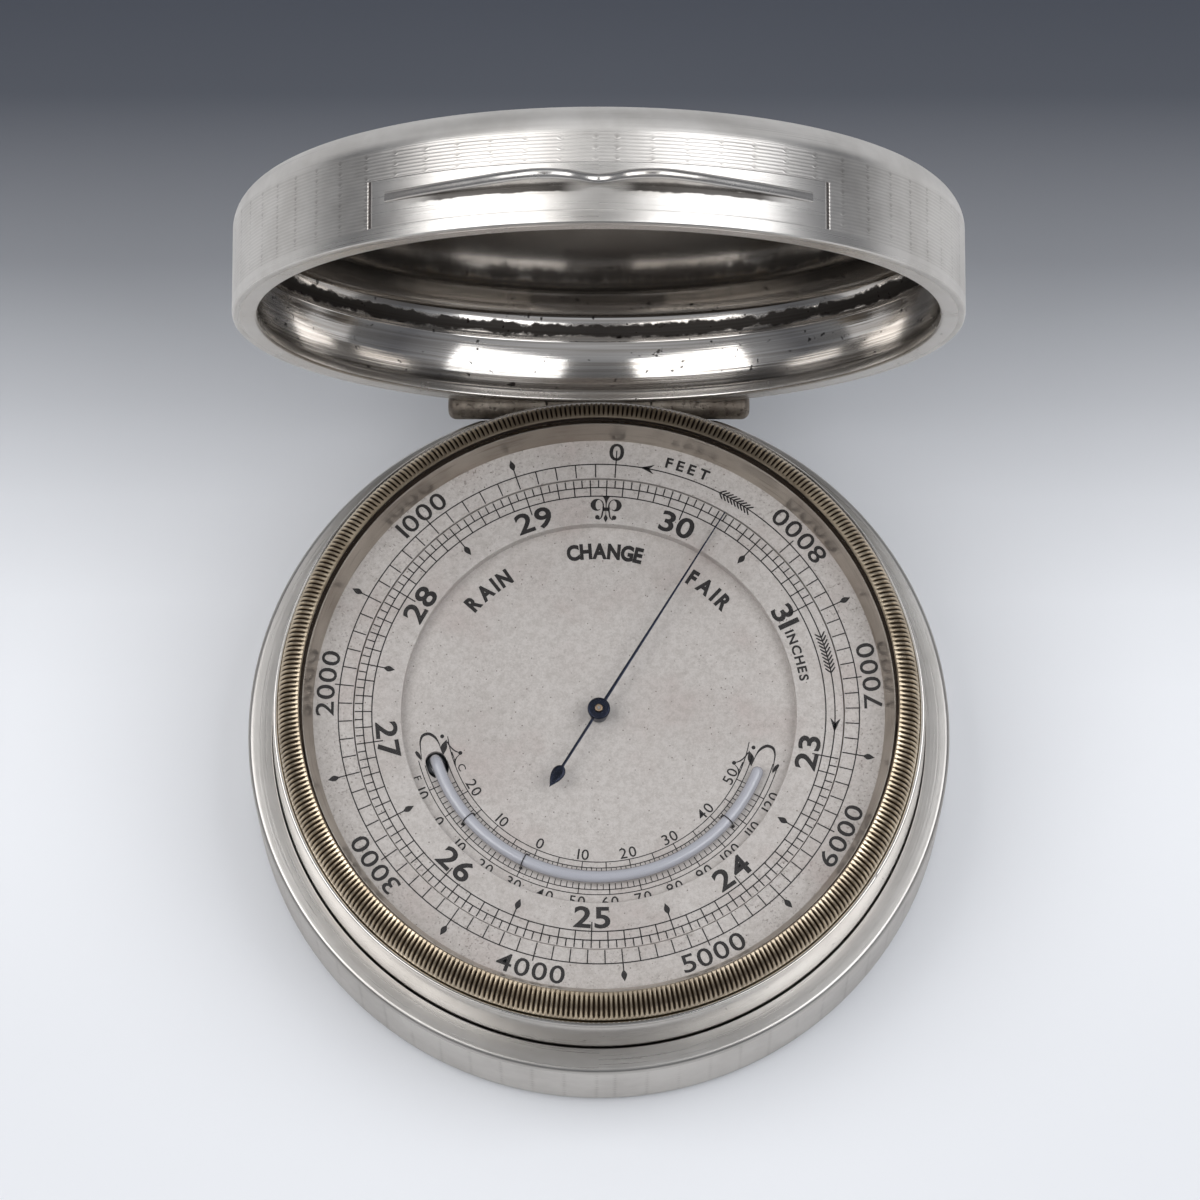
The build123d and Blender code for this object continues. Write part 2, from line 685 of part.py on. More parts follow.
# ---------------------------------------------------------------- Movement plate and pillars
with BuildPart() as movement_plate:
    with BuildSketch(Plane.XY.offset(plate_bottom)):
        Circle(plate_radius)
        with PolarLocations(plate_screw_circle, len(plate_screw_angles), plate_screw_angles[0]):
            Circle(screw_shank, mode=Mode.SUBTRACT)
        with Locations((block_middle_x, 0)):
            Circle(adjuster_radius + running_clearance, mode=Mode.SUBTRACT)
    extrude(amount=plate_thickness)
pieces["movement_plate"] = movement_plate

with BuildPart() as plate_screws:
    for angle in plate_screw_angles:
        x = plate_screw_circle * cos(radians(angle))
        y = plate_screw_circle * sin(radians(angle))
        screw(x, y, plate_top, plate_thickness + drum_floor / 2)
pieces["plate_screws"] = plate_screws

with BuildPart() as dial_pillars:
    with BuildSketch(Plane.XY.offset(plate_top)):
        for angle in dial_pillar_angles:
            with Locations((dial_pillar_circle * cos(radians(angle)), dial_pillar_circle * sin(radians(angle)))):
                Circle(dial_pillar_radius)
    extrude(amount=centre_dial_bottom - plate_top)
pieces["dial_pillars"] = dial_pillars

# ---------------------------------------------------------------- Capsule
with BuildPart() as capsule_base:
    diaphragm(-1)
    with BuildSketch(Plane.XY.offset(plate_top)):
        Circle(capsule_boss_radius)
    extrude(amount=capsule_boss_height)
pieces["capsule_base"] = capsule_base

with BuildPart() as capsule_diaphragm:
    diaphragm(1)
pieces["capsule_diaphragm"] = capsule_diaphragm

with BuildPart() as capsule_stud:
    with BuildSketch(Plane.XY.offset(capsule_top)):
        Circle(stud_radius)
    extrude(amount=knife_z + 2 * knife_radius - capsule_top)
    bar_along_y(0, knife_z, knife_radius, -stud_radius, stud_radius, Mode.SUBTRACT)
pieces["capsule_stud"] = capsule_stud

with BuildPart() as knife_edge:
    bar_along_y(0, knife_z, knife_radius, -knife_half_length, knife_half_length)
pieces["knife_edge"] = knife_edge

# ---------------------------------------------------------------- Mainspring and main lever
with BuildPart() as spring_block:
    with BuildSketch(Plane.XY.offset(plate_top)):
        with Locations((block_middle_x, 0)):
            Rectangle(2 * block_half_length, 2 * block_half_width)
    extrude(amount=spring_level - plate_top)
    with BuildSketch(Plane.XY.offset(plate_top)):
        with Locations((block_middle_x, 0)):
            Circle(adjuster_radius + running_clearance)
    extrude(amount=spring_level - plate_top, mode=Mode.SUBTRACT)
    with BuildSketch(Plane.XY.offset(spring_top - screw_reach)):
        with Locations(*spring_screw_places):
            Circle(screw_shank)
    extrude(amount=spring_level - spring_top + screw_reach, mode=Mode.SUBTRACT)
pieces["spring_block"] = spring_block

with BuildPart() as mainspring:
    spring_start = block_middle_x - block_half_length
    with BuildSketch(Plane.XY.offset(spring_level)):
        outline(
            (spring_start, -block_half_width),
            (block_middle_x + block_half_length, -block_half_width),
            (spring_overhang, -spring_tip_half_width),
            (spring_overhang, spring_tip_half_width),
            (block_middle_x + block_half_length, block_half_width),
            (spring_start, block_half_width),
        )
        Rectangle(2 * stud_slot_half_length, 2 * stud_slot_half_width, mode=Mode.SUBTRACT)
        with Locations(*spring_screw_places):
            Circle(screw_shank, mode=Mode.SUBTRACT)
    extrude(amount=spring_thickness)
    bar_along_y(
        lever_pivot_x,
        spring_top,
        lever_rib_radius + running_clearance,
        -block_half_width,
        block_half_width,
        Mode.SUBTRACT,
    )
pieces["mainspring"] = mainspring

with BuildPart() as spring_screws:
    for place in spring_screw_places:
        screw(place[0], place[1], spring_top, screw_reach)
pieces["spring_screws"] = spring_screws

with BuildPart() as main_lever:
    with BuildSketch(Plane.XY.offset(spring_top)):
        outline(
            (lever_pivot_x - lever_heel, -lever_half_width),
            (stud_slot_half_length + lever_heel, -lever_half_width),
            (lever_tip_x + lever_tip_half_length, -lever_tip_half_width),
            (lever_tip_x + lever_tip_half_length, lever_tip_half_width),
            (stud_slot_half_length + lever_heel, lever_half_width),
            (lever_pivot_x - lever_heel, lever_half_width),
        )
        Rectangle(2 * stud_slot_half_length, 2 * stud_slot_half_width, mode=Mode.SUBTRACT)
    extrude(amount=lever_thickness)
    bar_along_y(lever_pivot_x, spring_top, lever_rib_radius, -lever_half_width, lever_half_width)
    with BuildSketch(Plane.XY.offset(lever_tip_z - lever_tip_height / 2)):
        with Locations((lever_tip_x, 0)):
            Rectangle(2 * lever_tip_half_length, 2 * lever_tip_half_width)
    extrude(amount=lever_tip_height)
    with BuildSketch(Plane.XY.offset(lever_tip_z - lever_tip_height / 2)):
        with Locations((lever_tip_x, 0)):
            Rectangle(2 * lever_tip_half_length, 2 * (link_half_thickness + side_gap))
    extrude(amount=lever_tip_height, mode=Mode.SUBTRACT)
    bar_along_y(
        lever_tip_x, lever_tip_z, link_pin_radius, -lever_tip_half_width, lever_tip_half_width, Mode.SUBTRACT
    )
pieces["main_lever"] = main_lever

with BuildPart() as link_pin:
    bar_along_y(lever_tip_x, lever_tip_z, link_pin_radius, -lever_tip_half_width, lever_tip_half_width)
pieces["link_pin"] = link_pin

with BuildPart() as link:
    top_eye = (lever_tip_x, lever_tip_z)
    low_eye = (arm_end_x, arm_end_z)
    arm_between(top_eye, low_eye, arm_half_width / 2, -link_half_thickness, link_half_thickness)
    for eye, radius in ((top_eye, link_eye_radius), (low_eye, link_open_eye_radius)):
        bar_along_y(eye[0], eye[1], radius, -link_half_thickness, link_half_thickness)
    for eye, radius in (
        (top_eye, link_pin_radius + running_clearance),
        (low_eye, arm_pin_radius + open_eye_clearance),
    ):
        bar_along_y(eye[0], eye[1], radius, -link_half_thickness, link_half_thickness, Mode.SUBTRACT)
pieces["link"] = link

# ---------------------------------------------------------------- Rocking shaft
short_arm_y = link_half_thickness + side_gap
chain_arm_y = -chain_line_radius - arm_thickness / 2

with BuildPart() as rocking_shaft:
    bar_along_y(shaft_x, shaft_z, shaft_radius, -shaft_half_length, shaft_half_length)
    pivot_end = post_inner_y + post_thickness
    bar_along_y(shaft_x, shaft_z, shaft_pivot_radius, -pivot_end, pivot_end)
pieces["rocking_shaft"] = rocking_shaft

with BuildPart() as short_arm:
    shaft_at = (shaft_x, shaft_z)
    arm_between(shaft_at, (arm_end_x, arm_end_z), arm_half_width, short_arm_y, short_arm_y + arm_thickness)
    bar_along_y(shaft_x, shaft_z, arm_hub_radius, short_arm_y, short_arm_y + arm_thickness)
    bar_along_y(shaft_x, shaft_z, shaft_radius, short_arm_y, short_arm_y + arm_thickness, Mode.SUBTRACT)
    bar_along_y(arm_end_x, arm_end_z, arm_pin_radius, -short_arm_y, short_arm_y)
pieces["short_arm"] = short_arm

with BuildPart() as chain_arm:
    arm_between(shaft_at, (chain_end_x, chain_end_z), arm_half_width, chain_arm_y, chain_arm_y + arm_thickness)
    bar_along_y(shaft_x, shaft_z, arm_hub_radius, chain_arm_y, chain_arm_y + arm_thickness)
    bar_along_y(shaft_x, shaft_z, shaft_radius, chain_arm_y, chain_arm_y + arm_thickness, Mode.SUBTRACT)
pieces["chain_arm"] = chain_arm

with BuildPart() as shaft_posts:
    for side in (-1, 1):
        middle_y = side * (post_inner_y + post_thickness / 2)
        with BuildSketch(Plane.XY.offset(plate_top)):
            with Locations((shaft_x, middle_y)):
                Rectangle(2 * post_half_length, post_thickness)
        extrude(amount=shaft_z + post_height_over_shaft - plate_top)
    bar_along_y(
        shaft_x,
        shaft_z,
        shaft_pivot_radius + running_clearance,
        -post_inner_y - post_thickness,
        post_inner_y + post_thickness,
        Mode.SUBTRACT,
    )
pieces["shaft_posts"] = shaft_posts

# ---------------------------------------------------------------- Arbor bridge
with BuildPart() as arbor_bridge:
    with BuildSketch(Plane.XY.offset(bridge_level)):
        Rectangle(2 * bridge_half_width, 2 * (bridge_pillar_y + bridge_end_margin))
        fillet(vertices(), bridge_end_margin)
        Circle(pivot_radius + running_clearance, mode=Mode.SUBTRACT)
        with Locations(*bridge_screw_places):
            Circle(screw_shank, mode=Mode.SUBTRACT)
    extrude(amount=bridge_thickness)
pieces["arbor_bridge"] = arbor_bridge

with BuildPart() as bridge_pillars:
    with BuildSketch(Plane.XY.offset(plate_top)):
        with Locations(*bridge_screw_places):
            Circle(bridge_pillar_radius)
    extrude(amount=bridge_level - plate_top)
    with BuildSketch(Plane.XY.offset(bridge_top - screw_reach)):
        with Locations(*bridge_screw_places):
            Circle(screw_shank)
    extrude(amount=bridge_level - bridge_top + screw_reach, mode=Mode.SUBTRACT)
pieces["bridge_pillars"] = bridge_pillars

with BuildPart() as bridge_screws:
    for place in bridge_screw_places:
        screw(place[0], place[1], bridge_top, screw_reach)
pieces["bridge_screws"] = bridge_screws

# ---------------------------------------------------------------- Arbor, chain and hairspring
with BuildPart() as pointer_arbor:
    for radius, start, end in (
        (pivot_radius, bridge_level, chain_drum_level),
        (arbor_radius, chain_drum_level, hub_top),
        (arbor_end_radius, hub_top, arbor_top),
    ):
        with BuildSketch(Plane.XY.offset(start)):
            Circle(radius)
        extrude(amount=end - start)
pieces["pointer_arbor"] = pointer_arbor

with BuildPart() as chain_drum:
    top_flange = chain_drum_level + flange_thickness + chain_room
    for radius, start, thickness in (
        (chain_drum_flange, chain_drum_level, flange_thickness),
        (chain_drum_radius, chain_drum_level + flange_thickness, chain_room),
        (chain_drum_flange, top_flange, flange_thickness),
    ):
        with BuildSketch(Plane.XY.offset(start)):
            Circle(radius)
        extrude(amount=thickness)
    with BuildSketch(Plane.XY.offset(chain_drum_level)):
        Circle(arbor_radius)
    extrude(amount=chain_room + 2 * flange_thickness, mode=Mode.SUBTRACT)
pieces["chain_drum"] = chain_drum

with BuildPart() as fusee_chain:
    with BuildSketch(Plane.XY.offset(chain_level)):
        with BuildLine():
            CenterArc((0, 0), chain_line_radius, -90 - chain_wrap, chain_wrap)
            Line((0, -chain_line_radius), (chain_end_x - arm_half_width - side_gap, -chain_line_radius))
        trace(line_width=chain_thickness)
    extrude(amount=chain_height)
pieces["fusee_chain"] = fusee_chain

with BuildPart() as hairspring_collet:
    with BuildSketch(Plane.XY.offset(hairspring_level - (collet_height - hairspring_height) / 2)):
        Circle(collet_radius)
        Circle(arbor_radius, mode=Mode.SUBTRACT)
    extrude(amount=collet_height)
pieces["hairspring_collet"] = hairspring_collet

with BuildPart() as hairspring:
    with BuildSketch(Plane.XY.offset(hairspring_level)):
        with BuildLine():
            for index in range(hairspring_half_turns):
                side = 1 if index % 2 == 0 else -1
                start = collet_radius + hairspring_thickness / 2 + index * hairspring_pitch / 2
                end = start + hairspring_pitch / 2
                middle_x = -side * (start + end) / 2
                middle_y = side * (start - end) / 2
                ThreePointArc((0, side * start), (middle_x, middle_y), (0, -side * end))
        trace(line_width=hairspring_thickness)
    extrude(amount=hairspring_height)
pieces["hairspring"] = hairspring

with BuildPart() as hairspring_post:
    with BuildSketch(Plane.XY.offset(bridge_top)):
        with Locations((0, hairspring_end + hairspring_thickness + hairspring_post_radius)):
            Circle(hairspring_post_radius)
    extrude(amount=hairspring_level + collet_height - bridge_top)
pieces["hairspring_post"] = hairspring_post

# ---------------------------------------------------------------- Pointer
pointer_plane = Plane.XY.offset(pointer_level).rotated((0, 0, pointer_angle))

with BuildPart() as pointer:
    with BuildSketch(pointer_plane):
        Circle(hub_boss_radius)
        outline(
            (0, -pointer_root_width / 2),
            (pointer_length, -pointer_tip_width / 2),
            (pointer_length, pointer_tip_width / 2),
            (0, pointer_root_width / 2),
        )
        outline(
            (0, -tail_stem_width / 2),
            (-tail_stem_length, -tail_stem_width / 2),
            (-tail_stem_length, tail_stem_width / 2),
            (0, tail_stem_width / 2),
        )
        with BuildLine():
            leaf_middle = -tail_stem_length - 0.3 * (tail_length - tail_stem_length)
            Spline(
                (-tail_stem_length + tail_stem_width, 0),
                (leaf_middle, tail_leaf_width / 2),
                (-tail_length, 0),
                tangents=((0, 1), (-1, -0.25)),
            )
            Spline(
                (-tail_length, 0),
                (leaf_middle, -tail_leaf_width / 2),
                (-tail_stem_length + tail_stem_width, 0),
                tangents=((1, -0.25), (0, 1)),
            )
        make_face()
        Circle(hub_neck_radius, mode=Mode.SUBTRACT)
    extrude(amount=pointer_thickness)
pieces["pointer"] = pointer

with BuildPart() as pointer_hub:
    for radius, start, end in (
        (hub_boss_radius, centre_dial_top + hub_foot_gap, pointer_level),
        (hub_neck_radius, pointer_level, blade_top),
        (hub_radius, blade_top, hub_top),
    ):
        with BuildSketch(Plane.XY.offset(start)):
            Circle(radius)
        extrude(amount=end - start)
    with BuildSketch(Plane.XY.offset(centre_dial_top)):
        Circle(arbor_radius)
    extrude(amount=hub_top - centre_dial_top, mode=Mode.SUBTRACT)
pieces["pointer_hub"] = pointer_hub

# ---------------------------------------------------------------- Adjusting screw
with BuildPart() as adjusting_screw:
    head_bottom = drum_bottom + adjuster_floor_gap
    head_top = head_bottom + adjuster_head_height
    with BuildSketch(Plane.XY.offset(head_bottom)):
        with Locations((block_middle_x, 0)):
            Circle(adjuster_head_radius)
    extrude(amount=adjuster_head_height)
    with BuildSketch(Plane.XY.offset(head_top)):
        with Locations((block_middle_x, 0)):
            Circle(adjuster_radius)
    extrude(amount=adjuster_length)
    with BuildSketch(Plane.XY.offset(head_bottom)):
        with Locations((block_middle_x, 0)):
            Rectangle(2 * adjuster_head_radius + 1, screw_slot_width)
    extrude(amount=screw_slot_depth, mode=Mode.SUBTRACT)
pieces["adjusting_screw"] = adjusting_screw

# ---------------------------------------------------------------- Write every piece
for node, piece in pieces.items():
    piece.part.label = node
    export_step(piece.part, f"parts/{node}.step")
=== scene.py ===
import json
from math import atan2, cos, pi, radians, sin

import bmesh
import bpy
import numpy as np
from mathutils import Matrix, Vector


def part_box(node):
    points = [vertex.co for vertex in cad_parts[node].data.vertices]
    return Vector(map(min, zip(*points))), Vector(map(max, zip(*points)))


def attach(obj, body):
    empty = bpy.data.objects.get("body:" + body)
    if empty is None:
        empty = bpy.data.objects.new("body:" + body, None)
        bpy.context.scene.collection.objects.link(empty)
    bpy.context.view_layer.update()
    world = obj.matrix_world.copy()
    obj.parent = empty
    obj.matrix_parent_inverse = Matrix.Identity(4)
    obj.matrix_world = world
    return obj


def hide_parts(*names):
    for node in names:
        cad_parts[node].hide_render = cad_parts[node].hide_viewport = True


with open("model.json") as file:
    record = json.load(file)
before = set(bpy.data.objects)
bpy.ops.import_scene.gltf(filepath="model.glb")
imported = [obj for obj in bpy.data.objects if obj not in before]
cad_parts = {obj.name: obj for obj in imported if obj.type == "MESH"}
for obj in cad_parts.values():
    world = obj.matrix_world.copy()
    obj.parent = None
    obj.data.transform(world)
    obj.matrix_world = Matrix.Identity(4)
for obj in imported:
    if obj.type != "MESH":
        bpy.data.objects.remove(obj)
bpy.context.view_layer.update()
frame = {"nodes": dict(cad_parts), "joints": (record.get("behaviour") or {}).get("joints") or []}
cad = frame["nodes"]
joints = {joint["name"]: joint for joint in frame["joints"]}
mm = 0.001  # every size below is in millimetres
print("frame loaded with", len(cad), "nodes")


def topOf(node):
    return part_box(node)[1].z / mm


# surfaces worked out with numpy

def unit(vectors):
    return vectors / np.linalg.norm(vectors, axis=-1, keepdims=True)


def aroundAxis(r, turn, z=0.0):
    # x = r cos turn, y = r sin turn, at height z
    return np.stack(np.broadcast_arrays(r * np.cos(turn), r * np.sin(turn), z), -1)


def grid(points, closedRows=False, closedColumns=False, uv=None):
    # a rows x columns x 3 array of points becomes (points, faces, uv of each face corner);
    # a closed direction runs on from its last line to its first
    rows, columns = points.shape[:2]
    r, c = np.meshgrid(np.arange(rows - (not closedRows)), np.arange(columns - (not closedColumns)), indexing="ij")
    corners = ((r, c), (r + 1, c), (r + 1, c + 1), (r, c + 1))
    faces = np.stack([(a % rows) * columns + b % columns for a, b in corners], -1).reshape(-1, 4)
    if uv is None:
        uv = np.zeros((rows + 1, columns + 1, 2))
    return points.reshape(-1, 3), faces, np.stack([uv[a, b] for a, b in corners], -2).reshape(-1, 4, 2)


def closedEnds(sections):
    # a tube through its sections, both ends closed on their own middles
    first, last = (np.broadcast_to(sections[i].mean(0), sections[i].shape)[None] for i in (0, -1))
    return grid(np.concatenate([first, sections, last]), False, True)


def asTriangles(part):
    points, faces, uv = part
    if faces.shape[1] == 3:
        return part
    halves = [0, 1, 2], [0, 2, 3]
    return points, np.concatenate([faces[:, h] for h in halves]), np.concatenate([uv[:, h] for h in halves])


def joined(parts):
    # several parts as one, with each part's face numbers moved past the points before it
    if len({part[1].shape[1] for part in parts}) > 1:
        parts = [asTriangles(part) for part in parts]
    starts = np.cumsum([0] + [len(part[0]) for part in parts[:-1]])
    points, faces, uv = zip(*parts)
    faces = [numbers + start for numbers, start in zip(faces, starts)]
    return np.concatenate(points), np.concatenate(faces), np.concatenate(uv)


def outwardFaces(part):
    # a closed part whose signed volume is negative has its faces turned over
    points, faces, uv = part
    corners = [points[faces[:, i]] for i in range(faces.shape[1])]
    volume = sum((corners[0] * np.cross(b, c)).sum() for b, c in zip(corners[1:], corners[2:]))
    return (points, faces[:, ::-1], uv[:, ::-1]) if volume < 0 else part


def makePiece(name, part, body, slot, finish, replaced=None, sharp=38, merge=True):
    points, faces, uv = outwardFaces(part)
    mesh = bpy.data.meshes.new(name)
    mesh.from_pydata(points * mm, [], faces, shade_flat=False)
    mesh.uv_layers.new(name="UVMap").data.foreach_set("uv", uv.astype(np.float32).ravel())
    if merge:
        built = bmesh.new()
        built.from_mesh(mesh)
        bmesh.ops.remove_doubles(built, verts=built.verts, dist=2e-7)
        bmesh.ops.dissolve_degenerate(built, edges=built.edges, dist=1e-8)
        built.to_mesh(mesh)
        built.free()
    mesh.validate()
    mesh.set_sharp_from_angle(angle=radians(sharp))
    mesh.materials.append(finishes[finish])
    piece = bpy.data.objects.new(name, mesh)
    bpy.context.scene.collection.objects.link(piece)
    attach(piece, body)
    if replaced:
        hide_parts(replaced)


def roundedOutline(corners, closed=True, steps=6):
    # (r, z, radius) corners; one with a radius becomes an arc that touches both of its runs
    points = []
    for i, (r, z, radius) in enumerate(corners):
        here = np.array([r, z], float)
        if radius == 0 or (not closed and i in (0, len(corners) - 1)):
            points.append(here)
            continue
        before, after = (unit(np.array(corners[j % len(corners)][:2]) - here) for j in (i - 1, i + 1))
        half = 0.5 * np.arccos(np.clip(before @ after, -1, 1))
        centre = here + unit(before + after) * radius / sin(half)
        start, end = (here + side * radius / np.tan(half) - centre for side in (before, after))
        sweep = atan2(start[0] * end[1] - start[1] * end[0], start @ end)
        for turn in np.linspace(0, sweep, steps + 1):
            points.append(centre + start * cos(turn) + np.array([-start[1], start[0]]) * sin(turn))
    return np.array(points)


def finer(outline, step, closed=True):
    # straight runs longer than step get points along them
    ends = np.roll(outline, -1, axis=0) if closed else outline[1:]
    pieces = []
    for start, end in zip(outline, ends):
        count = max(1, int(np.ceil(np.linalg.norm(end - start) / step)))
        pieces.append(start + (end - start) * (np.arange(count) / count)[:, None])
    return np.concatenate(pieces if closed else [*pieces, outline[-1:]])


def turned(outline, segments=288, closed=True, angles=None, run=None):
    # each outline point (r, z) goes round the z axis; uv is (degrees from the front, run or z)
    r, z = np.asarray(outline, float).T
    if angles is None:
        angles = np.linspace(-pi / 2, 1.5 * pi, segments, endpoint=False)
    heights = z if run is None else run
    uv = np.stack(np.meshgrid(np.append(np.degrees(angles) + 90, 360), np.append(heights, heights[0]),
                              indexing="ij"), -1)
    return grid(aroundAxis(r, angles[:, None], z), True, closed, uv)


def turnedPlug(corners, segments=288, **given):
    # a solid turned piece, whose outline starts and ends on the axis
    return turned(roundedOutline(corners, closed=False), segments, closed=False, **given)


def turnedRing(corners, segments=360, **given):
    return turned(roundedOutline(corners), segments, **given)


def runUp(outline, radius, middle):
    # how far along the skin a point lies: its height on the wall, going on inwards past the wall's two ends
    r, z = outline.T
    return z + np.where(z > middle, radius - r, r - radius)


def reshaped(part, change):
    return change(part[0].copy()), part[1], part[2]


def sweptRound(path, radii, sides=16, ups=(0, 0, 1.0)):
    # a circle carried along a path, square to it; both ends close on their own middle
    path = np.asarray(path, float)
    radii = np.broadcast_to(np.asarray(radii, float), len(path))
    along = unit(np.gradient(path, axis=0))
    side = unit(np.cross(along, np.broadcast_to(ups, path.shape)))
    lift = np.cross(side, along)
    turn = np.linspace(0, 2 * pi, sides, endpoint=False)[None, :, None]
    ring = side[:, None] * np.cos(turn) + lift[:, None] * np.sin(turn)
    return closedEnds(path[:, None] + ring * radii[:, None, None])


def smoothThrough(wanted, places, heights):
    # a curve with no corners through the given points: cubic pieces whose slopes are those of their neighbours
    places, heights = np.array(places, float), np.array(heights, float)
    slopes = np.gradient(heights, places)
    i = np.clip(np.searchsorted(places, wanted) - 1, 0, len(places) - 2)
    width = places[i + 1] - places[i]
    t = (wanted - places[i]) / width
    return ((2 * t ** 3 - 3 * t ** 2 + 1) * heights[i] + (t ** 3 - 2 * t ** 2 + t) * width * slopes[i]
            + (3 * t ** 2 - 2 * t ** 3) * heights[i + 1] + (t ** 3 - t ** 2) * width * slopes[i + 1])


hinge = dict(
    y=joints["lid_hinge"]["pos_m"][1] / mm, z=joints["lid_hinge"]["pos_m"][2] / mm,
    openAngle=radians(joints["lid_hinge"]["range_deg"][1]),
    halfLength=15.3, baseHalf=5.25, sideGap=0.1, knuckleRadius=1.4, pinRadius=0.45, bore=1.55,
)


def opened(points):
    # the shut lid's points turned back about the hinge line by the open angle
    x, y, z = points.T
    y, z = y - hinge["y"], z - hinge["z"]
    c, s = cos(-hinge["openAngle"]), sin(-hinge["openAngle"])
    return np.stack([x, hinge["y"] + y * c - z * s, hinge["z"] + y * s + z * c], -1)


def hingeAngles(segments=288):
    # even steps round the case, with close ones at the ends of the knuckles
    even = np.linspace(-pi / 2, 1.5 * pi, segments, endpoint=False)
    edges = [hinge["baseHalf"], hinge["baseHalf"] + hinge["sideGap"], hinge["halfLength"] + hinge["sideGap"]]
    nudge = 0.0012
    close = [pi / 2 + side * np.arcsin(x / hinge["y"]) + more for x in edges for side in (-1, 1)
             for more in (-nudge, nudge)]
    return np.sort(np.concatenate([even, close]))


def grooved(part, onLid):
    # metal within the barrel's reach moves off it: z = hinge z -+ sqrt(radius^2 - (y - hinge y)^2);
    # each leaf fits its own barrel closely and clears the other one's
    def change(points):
        x, y, z = points[:, 0], points[:, 1] - hinge["y"], points[:, 2]
        facesBase = np.abs(x) < hinge["baseHalf"] + (0.1 if onLid else 0.0)
        radius = np.where(facesBase == onLid, hinge["bore"], hinge["knuckleRadius"])
        depth = np.sqrt(np.clip(radius ** 2 - y ** 2, 0, None))
        near = (np.abs(x) < hinge["halfLength"] + hinge["sideGap"]) & (np.abs(y) < radius) & (depth > 0)
        moved = np.maximum(z, hinge["z"] + depth) if onLid else np.minimum(z, hinge["z"] - depth)
        points[:, 2] = np.where(near, moved, z)
        return points
    return reshaped(part, change)


# materials

class Value:
    # a socket that takes part in Python sums; each sum adds its Math node
    def __init__(self, finish, socket):
        self.finish, self.socket = finish, socket

    def math(self, operation, *inputs):
        return self.finish.node("ShaderNodeMath", {"operation": operation}, dict(enumerate(inputs)))

    def __abs__(self): return self.math("ABSOLUTE", self)
    def sine(self): return self.math("SINE", self)
    def above(self, edge): return self.math("GREATER_THAN", self, edge)
    def below(self, edge): return self.math("LESS_THAN", self, edge)
    def atLeast(self, other): return self.math("MAXIMUM", self, other)
    def atMost(self, other): return self.math("MINIMUM", self, other)

    def line(self, half):
        # 1 where the value is nought, falling to 0 at half on both sides
        return 1.0 - (abs(self) / half).atMost(1.0)

    def fade(self, low, high):
        # 0 at low, 1 at high, smooth between
        return self.finish.node("ShaderNodeMapRange", {"interpolation_type": "SMOOTHSTEP"},
                                {"Value": self, "From Min": low, "From Max": high})


# + - * / ** % and their reflected forms
operators = dict(add="ADD", sub="SUBTRACT", mul="MULTIPLY", truediv="DIVIDE", pow="POWER", mod="FLOORED_MODULO")
for sign, operation in operators.items():
    setattr(Value, f"__{sign}__", lambda self, other, kind=operation: self.math(kind, self, other))
    setattr(Value, f"__r{sign}__", lambda self, other, kind=operation: self.math(kind, other, self))


class Finish:
    # one material: a Principled shader with its fixed values, and helpers that add nodes
    def __init__(self, name, metallic=1.0, **fixed):
        self.material = bpy.data.materials.new(name)
        self.material.use_nodes = True
        self.tree = self.material.node_tree
        self.shader = self.tree.nodes["Principled BSDF"]
        self.give(self.shader, {"Metallic": metallic, **fixed})

    def give(self, node, inputs):
        # each socket gets a link, or a number or colour of its own
        for name, amount in inputs.items():
            socket = node.inputs[name]
            if isinstance(amount, Value):
                self.tree.links.new(amount.socket, socket)
            else:
                socket.default_value = (*amount, 1) if socket.type == "RGBA" else amount

    def node(self, kind, settings=None, inputs=None, output=0):
        made = self.tree.nodes.new(kind)
        for key, amount in (settings or {}).items():
            if key == "stops":
                setStops(made.color_ramp.elements, amount)
            else:
                setattr(made, key, amount)
        self.give(made, inputs or {})
        return Value(self, made.outputs[output])

    def place(self):
        return self.node("ShaderNodeTexCoord", output="Object")

    def parts(self, vector):
        split = self.node("ShaderNodeSeparateXYZ", inputs={0: vector}).socket.node
        return [Value(self, output) for output in split.outputs]

    def uv(self):
        return self.parts(self.node("ShaderNodeTexCoord", output="UV"))[:2]

    def fromAxis(self):
        # x, y and z, and the distance from the dial's axis in millimetres
        x, y, z = self.parts(self.place())
        return x, y, z, (x * x + y * y) ** 0.5 * 1000.0

    def vector(self, *amounts):
        return self.node("ShaderNodeCombineXYZ", inputs=dict(enumerate(amounts)))

    def noise(self, scale, detail=3.0, roughness=0.55, vector=None):
        return self.node("ShaderNodeTexNoise", inputs={
            "Vector": vector or self.place(), "Scale": scale, "Detail": detail, "Roughness": roughness})

    def stretched(self, x, y, z):
        return self.node("ShaderNodeMapping", inputs={"Vector": self.place(), "Scale": (x, y, z)})

    def ramp(self, amount, *stops):
        return self.node("ShaderNodeValToRGB", {"stops": stops}, {0: amount})

    def coat(self, roughness, colour, *layers, bump=None, **more):
        # each layer (amount, colour) lies over those before it; bump is (height, distance in millimetres, strength)
        for amount, over in layers:
            colour = self.node("ShaderNodeMix", {"data_type": "RGBA"}, {0: amount, 6: colour, 7: over}, output=2)
        if bump:
            height, distance, strength = (*bump, 1.0)[:3]
            more["Normal"] = self.node("ShaderNodeBump", inputs={
                "Height": height, "Distance": distance * mm, "Strength": strength})
        self.give(self.shader, {"Base Color": colour, "Roughness": roughness, **more})
        return self.material


def setStops(elements, stops):
    while len(elements) < len(stops):
        elements.new(1.0)
    for element, (place, colour) in zip(elements, stops):
        element.position, element.color = place, (*colour, 1)


